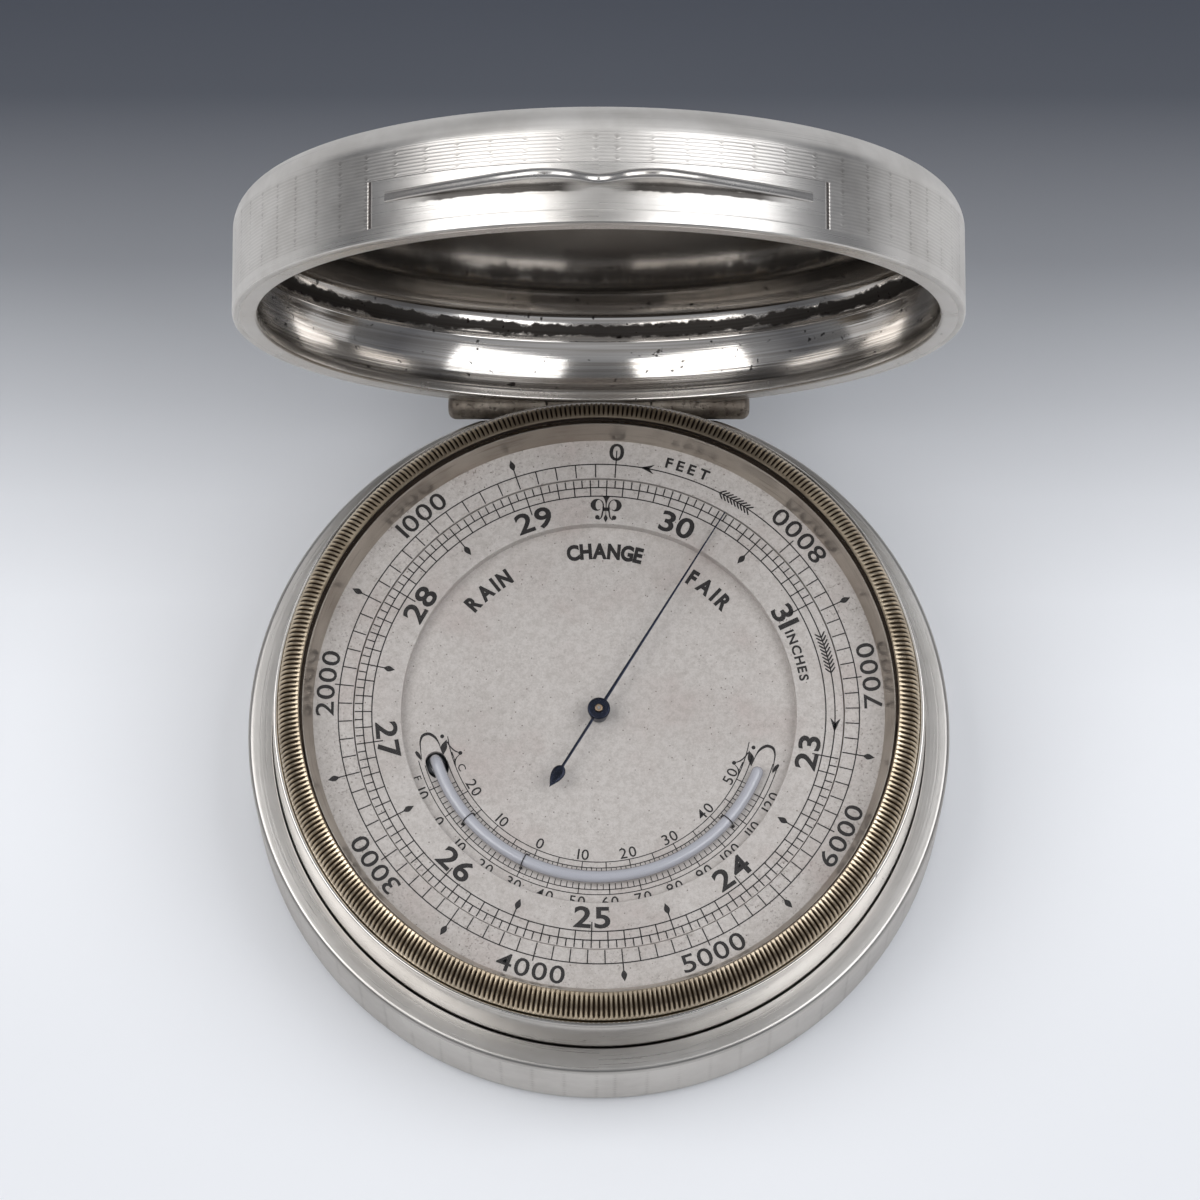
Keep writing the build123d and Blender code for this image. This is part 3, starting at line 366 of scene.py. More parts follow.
# the last two colours are painted shade: one darkens the plain silver outside the engine turning, the other is the
# shadow under the lid's tab
silver = dict(bright=(0.69, 0.67, 0.645), dull=(0.56, 0.54, 0.515), warm=(0.54, 0.49, 0.44),
              tarnish=(0.045, 0.035, 0.029), line=(0.13, 0.11, 0.10), shade=(0.24, 0.23, 0.22),
              paintedTabShadow=(0.025, 0.022, 0.02))
turning = dict(ridgePitch=0.33, columnPitch=5.25, wander=0.10, kinkWidth=0.10, kinkLift=0.34, rowPitch=0.99)
# the label's entries include the height and half width of the painted shadow under the thumb tab
label = dict(halfAngle=36.4, middle=3.5, halfHeight=2.2, lineWidth=0.27, topWidth=0.07, paintedTabShadow=3.3, paintedTabShadowHalf=0.42,
             perDegree=0.61)


def silverTurnedFinish(name, low, high, labelled=False):
    # fine engine turning between two heights: ridges round the wall, kinked in columns into small chevrons;
    # the lid's wall has a plain label with a line at each end, and a painted shadow under its tab
    made = Finish(name)
    across, height = made.uv()
    wander = made.noise(60, 2.0) - 0.5
    fromColumn = (across / turning["columnPitch"] + wander * turning["wander"]) % 1.0 - 0.5
    kink = fromColumn.line(turning["kinkWidth"])
    row = abs((height / turning["rowPitch"]) % 1.0 - 0.5) * 2.0
    lift = kink * (row - 0.35) * turning["kinkLift"]
    ridge = ((height + lift) * (2 * pi / turning["ridgePitch"])).sine()
    turnedArea = height.fade(low, low + 0.12) * (1.0 - height.fade(high - 0.12, high))
    if labelled:
        fromMiddle = abs(made.node("ShaderNodeMath", {"operation": "WRAP"}, {0: across, 1: -180.0, 2: 180.0}))
        side = (fromMiddle - label["halfAngle"]) * label["perDegree"]
        level = abs(height - label["middle"]) - label["halfHeight"]
        turnedArea = turnedArea * side.atLeast(level).above(0.0)
        endLine = (side.line(label["lineWidth"]) * 2.0).atMost(1.0) * level.below(0.0)
        topLine = (height - label["middle"] - label["halfHeight"]).line(label["topWidth"]) * side.below(0.0)
        border = endLine.atLeast(topLine * 0.45)
        ragged = made.noise(500, 3.0, 0.6) * 0.5 - 0.25
        # painted shadow of the thumb tab: a ragged dark line just below it, either side of the middle, within the
        # label
        paintedTabShadow = ((height - label["paintedTabShadow"] + ragged).line(label["paintedTabShadowHalf"]).fade(0.05, 0.5)
                * fromMiddle.fade(2.0, 6.0) * (1.0 - fromMiddle.fade(24.0, 31.0)))
        satin = height.fade(high, high + 1.2)
    worn = made.noise(900, 4.0, 0.6, made.stretched(1, 1, 0.35))
    soil = made.noise(130, 4.0, 0.6)
    scratch = made.noise(1.0, 4.0, 0.65, made.vector(across * 0.022, height * 4.5))
    plain = 1.0 - turnedArea
    groove = (0.5 - ridge * 0.5) * turnedArea
    dark = groove * 0.16 + kink * groove * soil.fade(0.3, 0.6) * 0.30 + scratch.fade(0.58, 0.75) * plain * 0.35
    relief = (ridge * 0.4 + kink * row * 0.35 + worn * 0.3) * turnedArea + scratch * 0.9 * plain
    roughness = (worn * 0.12 + 0.08) * turnedArea + scratch * 0.16 * plain + 0.21
    if not labelled:
        # plain silver outside the engine turning (shoulder, underside) is pulled towards a grey: painted shade
        # standing in for dark reflections
        return made.coat(roughness, silver["bright"], (soil.fade(0.35, 0.75), silver["dull"]),
                         (dark.atMost(1.0), silver["line"]), (plain * 0.45, silver["shade"]), bump=(relief, 0.016))
    return made.coat(roughness + satin * 0.15, silver["bright"], (soil.fade(0.35, 0.75), silver["dull"]),
                     ((dark + border * 0.8).atMost(1.0), silver["line"]), (paintedTabShadow * 0.92, silver["paintedTabShadow"]),
                     bump=(relief - border * 3.0, 0.016), Metallic=1.0 - satin * 0.45)


def silverPolishedFinish(name, roughness, spotLevel, tarnish=0.1):
    # bright silver with fine hairlines, faint clouding and dark spots where polish does not reach
    made = Finish(name)
    hairlines = made.noise(700, 5.0, 0.7, made.stretched(0.15, 1, 1))
    cloud = made.noise(110).fade(0.35, 0.8)
    spots = made.noise(1500, 2.0, 0.6).fade(spotLevel, spotLevel + 0.05)
    brown = made.noise(210, 4.0, 0.65).fade(0.50, 0.72) * tarnish
    return made.coat(hairlines * 0.10 + roughness + brown * 0.3 + spots * 0.3, silver["bright"],
                     (cloud * 0.6, silver["warm"]), ((brown + spots * 0.75).atMost(1.0), silver["tarnish"]),
                     bump=(hairlines + spots * -0.6, 0.006))


def silverInsideFinish():
    # the lid's inside: mirror bright, drawn round by the spinning chuck;
    # black where the cove and the rim trap dirt
    made = Finish("silverInside")
    across, height = made.uv()
    drawn = made.noise(1.0, 4.0, 0.5, made.vector(across * 0.02, height * 3.0))
    cove, rim = (height - 7.75).line(1.25), (height - 1.0).line(0.6)
    dark = (cove.atLeast(rim) + (made.noise(330, 5.0, 0.72) - 0.5) * 1.6).fade(0.35, 0.60)
    spots = made.noise(1100, 2.0, 0.6).fade(0.67, 0.70)
    return made.coat(drawn * 0.10 + 0.06 + dark * 0.4, (0.70, 0.68, 0.655),
                     (drawn.fade(0.3, 0.7), (0.44, 0.41, 0.38)),
                     ((dark * 0.93 + spots * 0.85).atMost(1.0), (0.02, 0.016, 0.014)), bump=(drawn, 0.010))


def giltKnurlFinish():
    # pale worn gold on the ridges, dark brown in the grooves; the uv's first number is the depth below the ridge
    made = Finish("giltKnurl")
    depth = made.uv()[0]
    worn = made.noise(420, 4.0, 0.6)
    patch = made.noise(45, 2.0).fade(0.4, 0.65)
    return made.coat(worn * 0.2 + 0.22 + depth * 0.35, (0.66, 0.56, 0.42),
                     (worn.fade(0.35, 0.7), (0.44, 0.36, 0.26)), (patch * 0.6, (0.30, 0.25, 0.19)),
                     (depth.fade(0.30, 0.85), (0.035, 0.022, 0.014)))


def bezelBrassFinish():
    # gold-brown outside; near black on the inner step where it faces the glass and in the rebate below the glass
    # top, as painted shade
    made = Finish("wornBrass")
    x, y, z, radius = made.fromAxis()
    # painted shade: the inner step and the glass rebate darkened to near black
    inner = 1.0 - (radius + made.noise(900, 3.0, 0.6) * 0.25).fade(29.75, 29.95)
    low = 1.0 - (z * 1000.0).fade(22.72, 22.78)
    cloud = made.noise(200, 4.0).fade(0.4, 0.75)
    dark = (inner * 0.85).atLeast(low * inner)
    return made.coat(cloud * 0.15 + 0.25 + dark * 0.25, (0.52, 0.43, 0.30), (cloud, (0.24, 0.19, 0.13)),
                     (dark, (0.070, 0.052, 0.040)))


def rehautFinish():
    # polished slope round the dial, brushed round and gone brown
    made = Finish("brownSilver")
    x, y, z, radius = made.fromAxis()
    turn = made.node("ShaderNodeMath", {"operation": "ARCTAN2"}, {0: y, 1: x})
    brushed = made.noise(1.0, 4.0, 0.6, made.vector(radius * 3.0, turn * 6.0, z * 3000.0))
    cloud = made.noise(120).fade(0.35, 0.75)
    return made.coat(brushed * 0.20 + 0.22, (0.60, 0.55, 0.49), (cloud, (0.42, 0.37, 0.32)),
                     (brushed.fade(0.5, 0.75) * 0.35, (0.12, 0.09, 0.07)), bump=(brushed, 0.010))


def brushedFinish(name, colour=(0.70, 0.55, 0.30), dull=(0.36, 0.27, 0.15), roughness=0.26):
    # lacquered metal, brushed, with darker clouds
    made = Finish(name)
    brushed = made.noise(800, 4.0, 0.65, made.stretched(1, 0.1, 1))
    cloud = made.noise(170, 4.0).fade(0.42, 0.75)
    return made.coat(brushed * 0.16 + roughness, colour, (cloud * 0.7, dull), bump=(brushed, 0.01))


def arborFinish():
    # bright brass round a centre hole painted dark as shade
    made = Finish("arborBrass")
    worn = made.noise(1500)
    # painted shade in the arbor's shallow centre hollow
    paintedHoleShade = 1.0 - made.fromAxis()[3].fade(0.13, 0.19)
    return made.coat(worn * 0.15 + 0.25, (0.62, 0.47, 0.33), (worn, (0.40, 0.29, 0.20)),
                     (paintedHoleShade, (0.02, 0.016, 0.014)))


def dialFinish():
    # silvered metal, matt and warm, grained, with fine dark flecks and faint pink-brown stains
    made = Finish("silveredDial", 0.0)
    grain, mottle = made.noise(4600, 4.0, 0.75), made.noise(1300, 4.0, 0.7)
    stain = made.noise(75, 5.0, 0.6).fade(0.38, 0.72)
    blush = made.noise(150).fade(0.48, 0.80)
    soiled = (made.fromAxis()[3].fade(19.0, 27.0) * 0.7 + 0.3) * made.noise(210, 4.0, 0.65).fade(0.32, 0.62)
    flecks = made.noise(3400, 2.0, 0.6).fade(0.58, 0.66) * soiled
    cells = made.node("ShaderNodeTexVoronoi", inputs={"Vector": made.place(), "Scale": 1300.0})
    spots = 1.0 - cells.fade(0.065, 0.115)
    return made.coat(grain * 0.14 + 0.40, (0.670, 0.632, 0.605), (stain, (0.590, 0.552, 0.525)),
                     (blush * 0.45, (0.59, 0.49, 0.465)),
                     ((grain * 0.5 + mottle * 0.5).fade(0.40, 0.62) * 0.42, (0.36, 0.32, 0.29)),
                     ((flecks * 0.50 + spots * 0.75).atMost(1.0), (0.12, 0.09, 0.075)),
                     bump=(grain + mottle, 0.006, 0.6))


def inkFinish():
    # wax filling, nearly black, thin in places
    made = Finish("blackWax", 0.0)
    thin = made.noise(900).fade(0.5, 0.85)
    return made.coat(thin * 0.2 + 0.5, (0.016, 0.013, 0.013), (thin * 0.5, (0.060, 0.050, 0.047)))


def blueSteelFinish():
    # dark heat blue, browner where the flame was hottest
    made = Finish("bluedSteel", 0.85)
    return made.coat(made.noise(1500, 4.0) * 0.12 + 0.24, made.ramp(
        made.noise(240), (0.3, (0.012, 0.014, 0.022)), (0.55, (0.022, 0.027, 0.048)), (0.8, (0.016, 0.015, 0.020))))


def tarnishedFinish():
    # hinge barrels: soldered silver gone grey-brown and pitted
    made = Finish("tarnishedSilver")
    patches = made.noise(300, 5.0, 0.65)
    pits = made.noise(1600, 3.0, 0.6).fade(0.55, 0.68)
    colour = made.ramp(patches, (0.30, (0.40, 0.36, 0.31)), (0.5, (0.22, 0.19, 0.16)), (0.72, (0.07, 0.055, 0.045)))
    return made.coat(patches * 0.3 + 0.32, colour, (pits * 0.6, silver["tarnish"]),
                     bump=(patches - pits * 0.7, 0.05))


def clearGlassFinish():
    # clear glass, with a breath of haze in its roughness
    made = Finish("clearGlass", 0.0, IOR=1.5, Alpha=0.05)
    return made.coat(made.noise(90) * 0.04, (0.02, 0.025, 0.03))


def tubeGlassFinish():
    # milky lens glass: bright body, darker where it turns away
    made = Finish("tubeGlass", 0.0, IOR=1.52, Alpha=0.93, **{"Coat Weight": 1.0, "Coat Roughness": 0.03})
    edge = made.node("ShaderNodeLayerWeight", inputs={"Blend": 0.35}, output=1)
    return made.coat(made.noise(500, 2.0) * 0.04 + 0.05, (0.56, 0.57, 0.63),
                     (edge.fade(0.30, 0.90), (0.17, 0.175, 0.20)))


def greyIronFinish():
    # a grained casting
    made = Finish("greyIron", 0.9)
    cast = made.noise(700, 4.0, 0.6)
    return made.coat(cast * 0.2 + 0.45, (0.20, 0.20, 0.21), (cast, (0.32, 0.31, 0.31)), bump=(cast, 0.03))


finishes = dict(
    baseWall=silverTurnedFinish("silverTurnedBase", 1.7, 11.75),
    lidWall=silverTurnedFinish("silverTurnedLid", 1.15, 8.5, labelled=True),
    collar=silverPolishedFinish("silverPolished", 0.10, 0.70),
    mouth=silverPolishedFinish("silverMouth", 0.20, 0.71),
    inside=silverInsideFinish(), tarnished=tarnishedFinish(), rehaut=rehautFinish(), knurl=giltKnurlFinish(),
    bezelBrass=bezelBrassFinish(), arbor=arborFinish(), brass=brushedFinish("lacqueredBrass"),
    steel=brushedFinish("brightSteel", (0.55, 0.55, 0.57), (0.33, 0.33, 0.34), 0.25),
    nickel=brushedFinish("nickelSilver", (0.62, 0.59, 0.54), (0.42, 0.39, 0.35), 0.25),
    mercury=brushedFinish("mercury", (0.72, 0.74, 0.78), (0.60, 0.62, 0.66), 0.08),
    iron=greyIronFinish(), dial=dialFinish(), ink=inkFinish(), blue=blueSteelFinish(),
    clearGlass=clearGlassFinish(), tubeGlass=tubeGlassFinish(),
)
print("materials made:", len(finishes))


# silver case

case = dict(radius=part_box("base_shell")[1].x / mm, height=12.6, bottomRound=1.5, edgeRound=0.5, sheet=0.7,
            shoulderBore=32.55)
collar = dict(foot=32.45, top=topOf("base_collar"), lean=0.35, wall=0.8, lip=0.22)


def baseShell():
    # outer skin from the middle of the underside up to the shoulder, then back inside it to the floor
    r, h, sheet, bore = (case[key] for key in ("radius", "height", "sheet", "shoulderBore"))
    outline = roundedOutline([
        (0, 0, 0), (r, 0, case["bottomRound"]), (r, h - 0.05, case["edgeRound"]), (bore, h, 0.12),
        (bore, h - sheet, 0), (r - sheet, h - sheet, 0), (r - sheet, sheet, case["bottomRound"] - sheet),
        (0, sheet, 0)], closed=False, steps=7)
    outline = finer(outline, 1.2, closed=False)
    return grooved(turned(outline, closed=False, angles=hingeAngles(), run=runUp(outline, r, h / 2)), False)


def baseCollar():
    # slightly swelling polished collar that the lid shuts over: r = foot - lean s^2, with a narrow rounded lip
    foot, top, start = collar["foot"], collar["top"], case["height"] - 0.4
    s = np.linspace(0, 1, 14)
    skin = np.stack([foot - collar["lean"] * s ** 2, start + (top - collar["lip"] - start) * s], -1)
    bore = foot - collar["wall"]
    lip = roundedOutline([(skin[-1][0], top - collar["lip"], 0), (skin[-1][0], top, 0.16), (bore, top, 0.12),
                          (bore, case["sheet"], 0), (foot, case["sheet"], 0)], closed=False)
    return turned(np.concatenate([skin, lip[1:]]), 360)


def barrel(x0, x1, radius, bore=0.0, sides=40, soft=(0.12, 0.12)):
    # a round tube along x about the hinge line, with softened ends
    outline = roundedOutline([(x0, radius, soft[0]), (x1, radius, soft[1]), (x1, bore, 0), (x0, bore, 0)])
    around = aroundAxis(outline[:, 1], np.linspace(0, 2 * pi, sides, endpoint=False)[:, None], outline[:, 0])
    return grid(around[..., [2, 0, 1]] + [0, hinge["y"], hinge["z"]], True, True)


makePiece("baseShell", baseShell(), "case", "silver", "baseWall", "base_shell", 30)
makePiece("baseCollar", baseCollar(), "case", "polished_silver", "collar", "base_collar", 30)
makePiece("baseKnuckle", barrel(-hinge["baseHalf"], hinge["baseHalf"], hinge["knuckleRadius"], hinge["pinRadius"]),
          "case", "silver", "tarnished", "base_knuckle")
makePiece("hingePin", barrel(-hinge["halfLength"], hinge["halfLength"], hinge["pinRadius"] - 0.005), "case",
          "nickel_silver", "nickel", "hinge_pin")
print("case base made")

# the lid is drawn shut, each depth running up from its mouth
lid = dict(radius=case["radius"], bore=34.25, wallDepth=8.4, crownRadius=31.8, crownDepth=11.6, depth=12.28,
           mouthBore=32.6, mouthDepth=1.3, ridgeDepth=6.6, ridge=0.35, coveDepth=10.75, coveWidth=3.0)


def quarter(centre, middle, width, rise, steps):
    # a quarter of an ellipse: r = centre + width cos t, depth = middle + rise sin t
    return [(centre + width * cos(t), middle + rise * sin(t)) for t in np.linspace(0, pi / 2, steps)]


def lidOutside():
    # wall, quarter-round edge and low dome: z = depth - (depth - crownDepth) (r / crownRadius)^2;
    # then the inside skin
    r, wall, crown, deep = lid["radius"], lid["wallDepth"], lid["crownRadius"], lid["depth"]
    edge = quarter(crown, wall, r - crown, lid["crownDepth"] - wall, 16)
    dome = [(crown * s, deep - (deep - lid["crownDepth"]) * s ** 2) for s in np.linspace(1, 0, 15)[1:]]
    lip = [(lid["bore"] + 0.02, 0.02), (r - 0.35, 0.0), (r - 0.16, 0.04), (r - 0.04, 0.15), (r, 0.35)]
    under = [(a * 0.985, b - 0.35) for a, b in reversed(edge[4:] + dome)]
    outline = np.array(lip + edge + dome + under + [(lid["bore"] + 0.02, wall)])
    outline = np.concatenate([finer(outline[:20], 1.0, closed=False), outline[20:]])
    run = runUp(outline, r, wall / 2)
    return grooved(turned(outline + [0, hinge["z"]], angles=hingeAngles(), run=run), True)


def lidInside():
    # inner skin: wall, a low ridge, the cove and the flat polished crown, with its back set into the wall
    bore, ridge, low, cove = lid["bore"], lid["ridgeDepth"], lid["bore"] - lid["ridge"], lid["coveDepth"]
    flat = bore - lid["coveWidth"]
    front = [(bore, 1.0), (bore, ridge - 0.5), (low, ridge - 0.15), (low, ridge + 0.15),
             (bore - 0.12, ridge + 0.45)]
    front += quarter(flat, ridge + 0.7, 2.85, cove - ridge - 0.7, 12)
    front += [(flat * s, cove + 0.5 * (1 - s ** 2)) for s in np.linspace(1, 0, 12)[1:]]
    back = [(0, 11.75), (15, 11.6), (30, 11.15), (33.2, 9.6), (bore + 0.2, 8.2), (bore + 0.2, 1.0)]
    outline = np.array(front + back)
    return turned(outline + [0, hinge["z"]], run=outline[:, 1])


def mouthRing():
    # flat bright rim round the mouth, its inner edge rolled over, undercut behind
    bore, outer, deep = lid["mouthBore"], lid["bore"] + 0.05, lid["mouthDepth"]
    outline = roundedOutline([(bore, 0, 0.3), (outer, 0.0, 0), (outer, deep, 0), (bore, deep, 0.45)])
    return grooved(turned(finer(outline + [0, hinge["z"]], 0.4), angles=hingeAngles()), True)


tab = dict(depth=4.0, thickness=1.0, halfWidth=19.4, reach=2.88, root=0.35, bow=(
    (0, 0.2), (0.035, 0.28), (0.14, 0.75), (0.28, 1.0), (0.44, 0.8), (0.6, 0.5), (0.8, 0.25), (1.0, 0.1)))


def thumbTab():
    # a thin lip under the wall: its front edge bows out twice, and its section ends in a half round
    across = np.linspace(-1, 1, 121)
    reach = tab["reach"] * smoothThrough(np.abs(across), *zip(*tab["bow"]))
    x = across * tab["halfWidth"]
    wall = -np.sqrt(case["radius"] ** 2 - x ** 2)
    half = tab["thickness"] / 2
    nose = np.minimum(half, reach)
    turn = np.linspace(-pi / 2, pi / 2, 9)
    front = (wall - reach + nose)[:, None] - nose[:, None] * np.cos(turn)
    y = np.column_stack([wall + tab["root"], front, wall + tab["root"]])
    z = np.concatenate([[-half], half * np.sin(turn), [half]]) + hinge["z"] + tab["depth"]
    return closedEnds(np.stack(np.broadcast_arrays(x[:, None], y, z), -1))


knuckleStart = hinge["baseHalf"] + hinge["sideGap"]
lidBarrels = [barrel(*sorted((side * knuckleStart, side * hinge["halfLength"])), hinge["knuckleRadius"],
                     hinge["pinRadius"] + 0.05, soft=(0.12, 0.85)[::side]) for side in (-1, 1)]
for name, part, slot, finish, replaced, sharp in (
        ("lidOutside", lidOutside(), "silver", "lidWall", "lid_shell", 30),
        ("lidInside", lidInside(), "polished_silver", "inside", None, 50),
        ("lidMouthRing", mouthRing(), "polished_silver", "mouth", "lid_mouth_ring", 40),
        ("lidKnuckles", joined(lidBarrels), "silver", "tarnished", "lid_knuckles", 38),
        ("thumbTab", thumbTab(), "silver", "mouth", "thumb_tab", 50)):
    makePiece(name, reshaped(part, opened), "lid", slot, finish, replaced, sharp)
print("lid made")

# barometer

bezel = dict(bottom=20.05, lipTop=20.45, radius=31.6, crownRadius=29.5, top=topOf("bezel_ring") - 0.02, swell=0.6,
             teeth=400, grooveDepth=0.24, grooveHalf=0.27, grooveLength=0.47, inner=29.4, glassTop=22.65,
             inset=0.12, rebate=29.55, seat=21.8, rehaut=29.15, skirtBore=30.0, skirt=30.65, skirtDepth=1.45)
crystal = dict(radius=29.5, top=22.6)
rehaut = dict(foot=28.2, bottom=19.2, outer=29.15, top=21.75)


def knurledEdge():
    # a bulged band between lip and crown;
    # grooves sink by depth sqrt(1 - (across / half)^2 - (along / half length)^8)
    b = bezel
    samples = np.array([-0.5, -0.34, -0.26, -0.17, -0.06, 0.06, 0.17, 0.26, 0.34])
    phase = np.tile(samples, b["teeth"])[:, None]
    turn = (np.repeat(np.arange(b["teeth"]), len(samples))[:, None] + phase) * 2 * pi / b["teeth"]
    s = np.concatenate([[0.0, 0.05], np.linspace(0.1, 0.9, 9), [0.95, 1.0]])
    start, end = np.array([b["radius"], b["lipTop"]]), np.array([b["crownRadius"], b["top"]])
    along = unit(end - start)
    out = np.array([along[1], -along[0]])
    base = start + (end - start) * s[:, None] + out * (4 * b["swell"] * s * (1 - s))[:, None]
    slope = np.gradient(base, s, axis=0)
    normal = unit(np.stack([slope[:, 1], -slope[:, 0]], -1))
    sunk = np.sqrt(np.clip(1 - (phase / b["grooveHalf"]) ** 2 - np.abs((s - 0.5) / b["grooveLength"]) ** 8, 0, 1))
    r, z = (base[:, i] - normal[:, i] * sunk * b["grooveDepth"] for i in (0, 1))
    backs = [aroundAxis(backR, turn, backZ) for backR, backZ in (
        (b["inner"], b["top"] - b["inset"]), (b["radius"] - 0.9, b["lipTop"] - 0.1))]
    points = np.concatenate([aroundAxis(r, turn, z), *backs], axis=1)
    uv = np.zeros((len(turn) + 1, points.shape[1] + 1, 2))
    uv[:-1, :len(s), 0] = sunk
    uv[:-1, :len(s), 1] = s
    uv[-1] = uv[0]
    return grid(points, True, True, uv)


def bezelBody():
    # brass ring under the knurling: lip, crown, glass rebate and the skirt inside the drum
    b = bezel
    foot = b["bottom"] - b["skirtDepth"]
    return turnedRing([
        (b["radius"], b["bottom"], 0.08), (b["radius"], b["lipTop"] + 0.02, 0.1),
        (b["radius"] - 0.75, b["lipTop"] + 0.25, 0), (b["crownRadius"] + 0.15, b["top"] - 0.30, 0),
        (b["inner"], b["top"] - b["inset"], 0), (b["inner"], b["glassTop"], 0), (b["rebate"], b["glassTop"], 0),
        (b["rebate"], b["seat"], 0), (b["rehaut"], b["seat"], 0), (b["rehaut"], b["bottom"], 0),
        (b["skirtBore"], b["bottom"], 0), (b["skirtBore"], foot, 0), (b["skirt"], foot, 0),
        (b["skirt"], b["bottom"], 0)])


makePiece("bezelKnurl", knurledEdge(), "bezel", "gilt_brass", "knurl", sharp=50, merge=False)
makePiece("bezelBody", bezelBody(), "bezel", "gilt_brass", "bezelBrass", "bezel_ring", 30)
makePiece("crystal", turnedPlug([(0, bezel["seat"], 0), (crystal["radius"], bezel["seat"], 0.05),
                                 (crystal["radius"], crystal["top"], 0.08), (0, crystal["top"], 0)]),
          "bezel", "clear_glass", "clearGlass", "glass")
makePiece("rehautRing", turnedRing([
    (rehaut["foot"], rehaut["bottom"], 0), (rehaut["outer"], rehaut["bottom"], 0),
    (rehaut["outer"], rehaut["top"], 0), (rehaut["outer"] - 0.1, rehaut["top"], 0.04)]),
          "bezel", "silver", "rehaut", "rehaut_ring")

dials = dict(ringTop=topOf("altitude_ring"), ringBore=24.25, ringOut=30.0, ringThick=0.5,
             pressureTop=topOf("pressure_dial"), pressureOut=24.15, pressureBore=19.5,
             centreTop=topOf("centre_dial"))


def dialRing(bore, outer, top, bottom, boreEdge, outerEdge=0):
    return turnedRing([(bore, top, boreEdge), (outer, top, outerEdge), (outer, bottom, 0), (bore, bottom, 0)])


makePiece("altitudeRing", dialRing(dials["ringBore"], dials["ringOut"], dials["ringTop"],
                                   dials["ringTop"] - dials["ringThick"], 0.06),
          "bezel", "silvered_dial", "dial", "altitude_ring")
makePiece("pressureDial", dialRing(dials["pressureBore"], dials["pressureOut"], dials["pressureTop"],
                                   dials["centreTop"], 0.09, 0.05),
          "case", "silvered_dial", "dial", "pressure_dial")
print("bezel and dials made")

# markings: thin closed slabs of wax, standing just proud of each dial

wax = dict(sunk=0.01, proud=0.018, line=0.12, fine=0.08, boxFaces=np.array(
    [[3, 2, 1, 0], [4, 5, 6, 7], [0, 1, 5, 4], [1, 2, 6, 5], [2, 3, 7, 6], [3, 0, 4, 7]]))
onFlat = (np.zeros(2), *np.eye(2))


def onDial(radius, degrees, inward=False):
    # a small drawing's x (reading direction) and y (up) laid on the dial at that place
    out = aroundAxis(1.0, radians(degrees))[:2]
    up = -out if inward else out
    return out * radius, np.array([up[1], -up[0]]), up


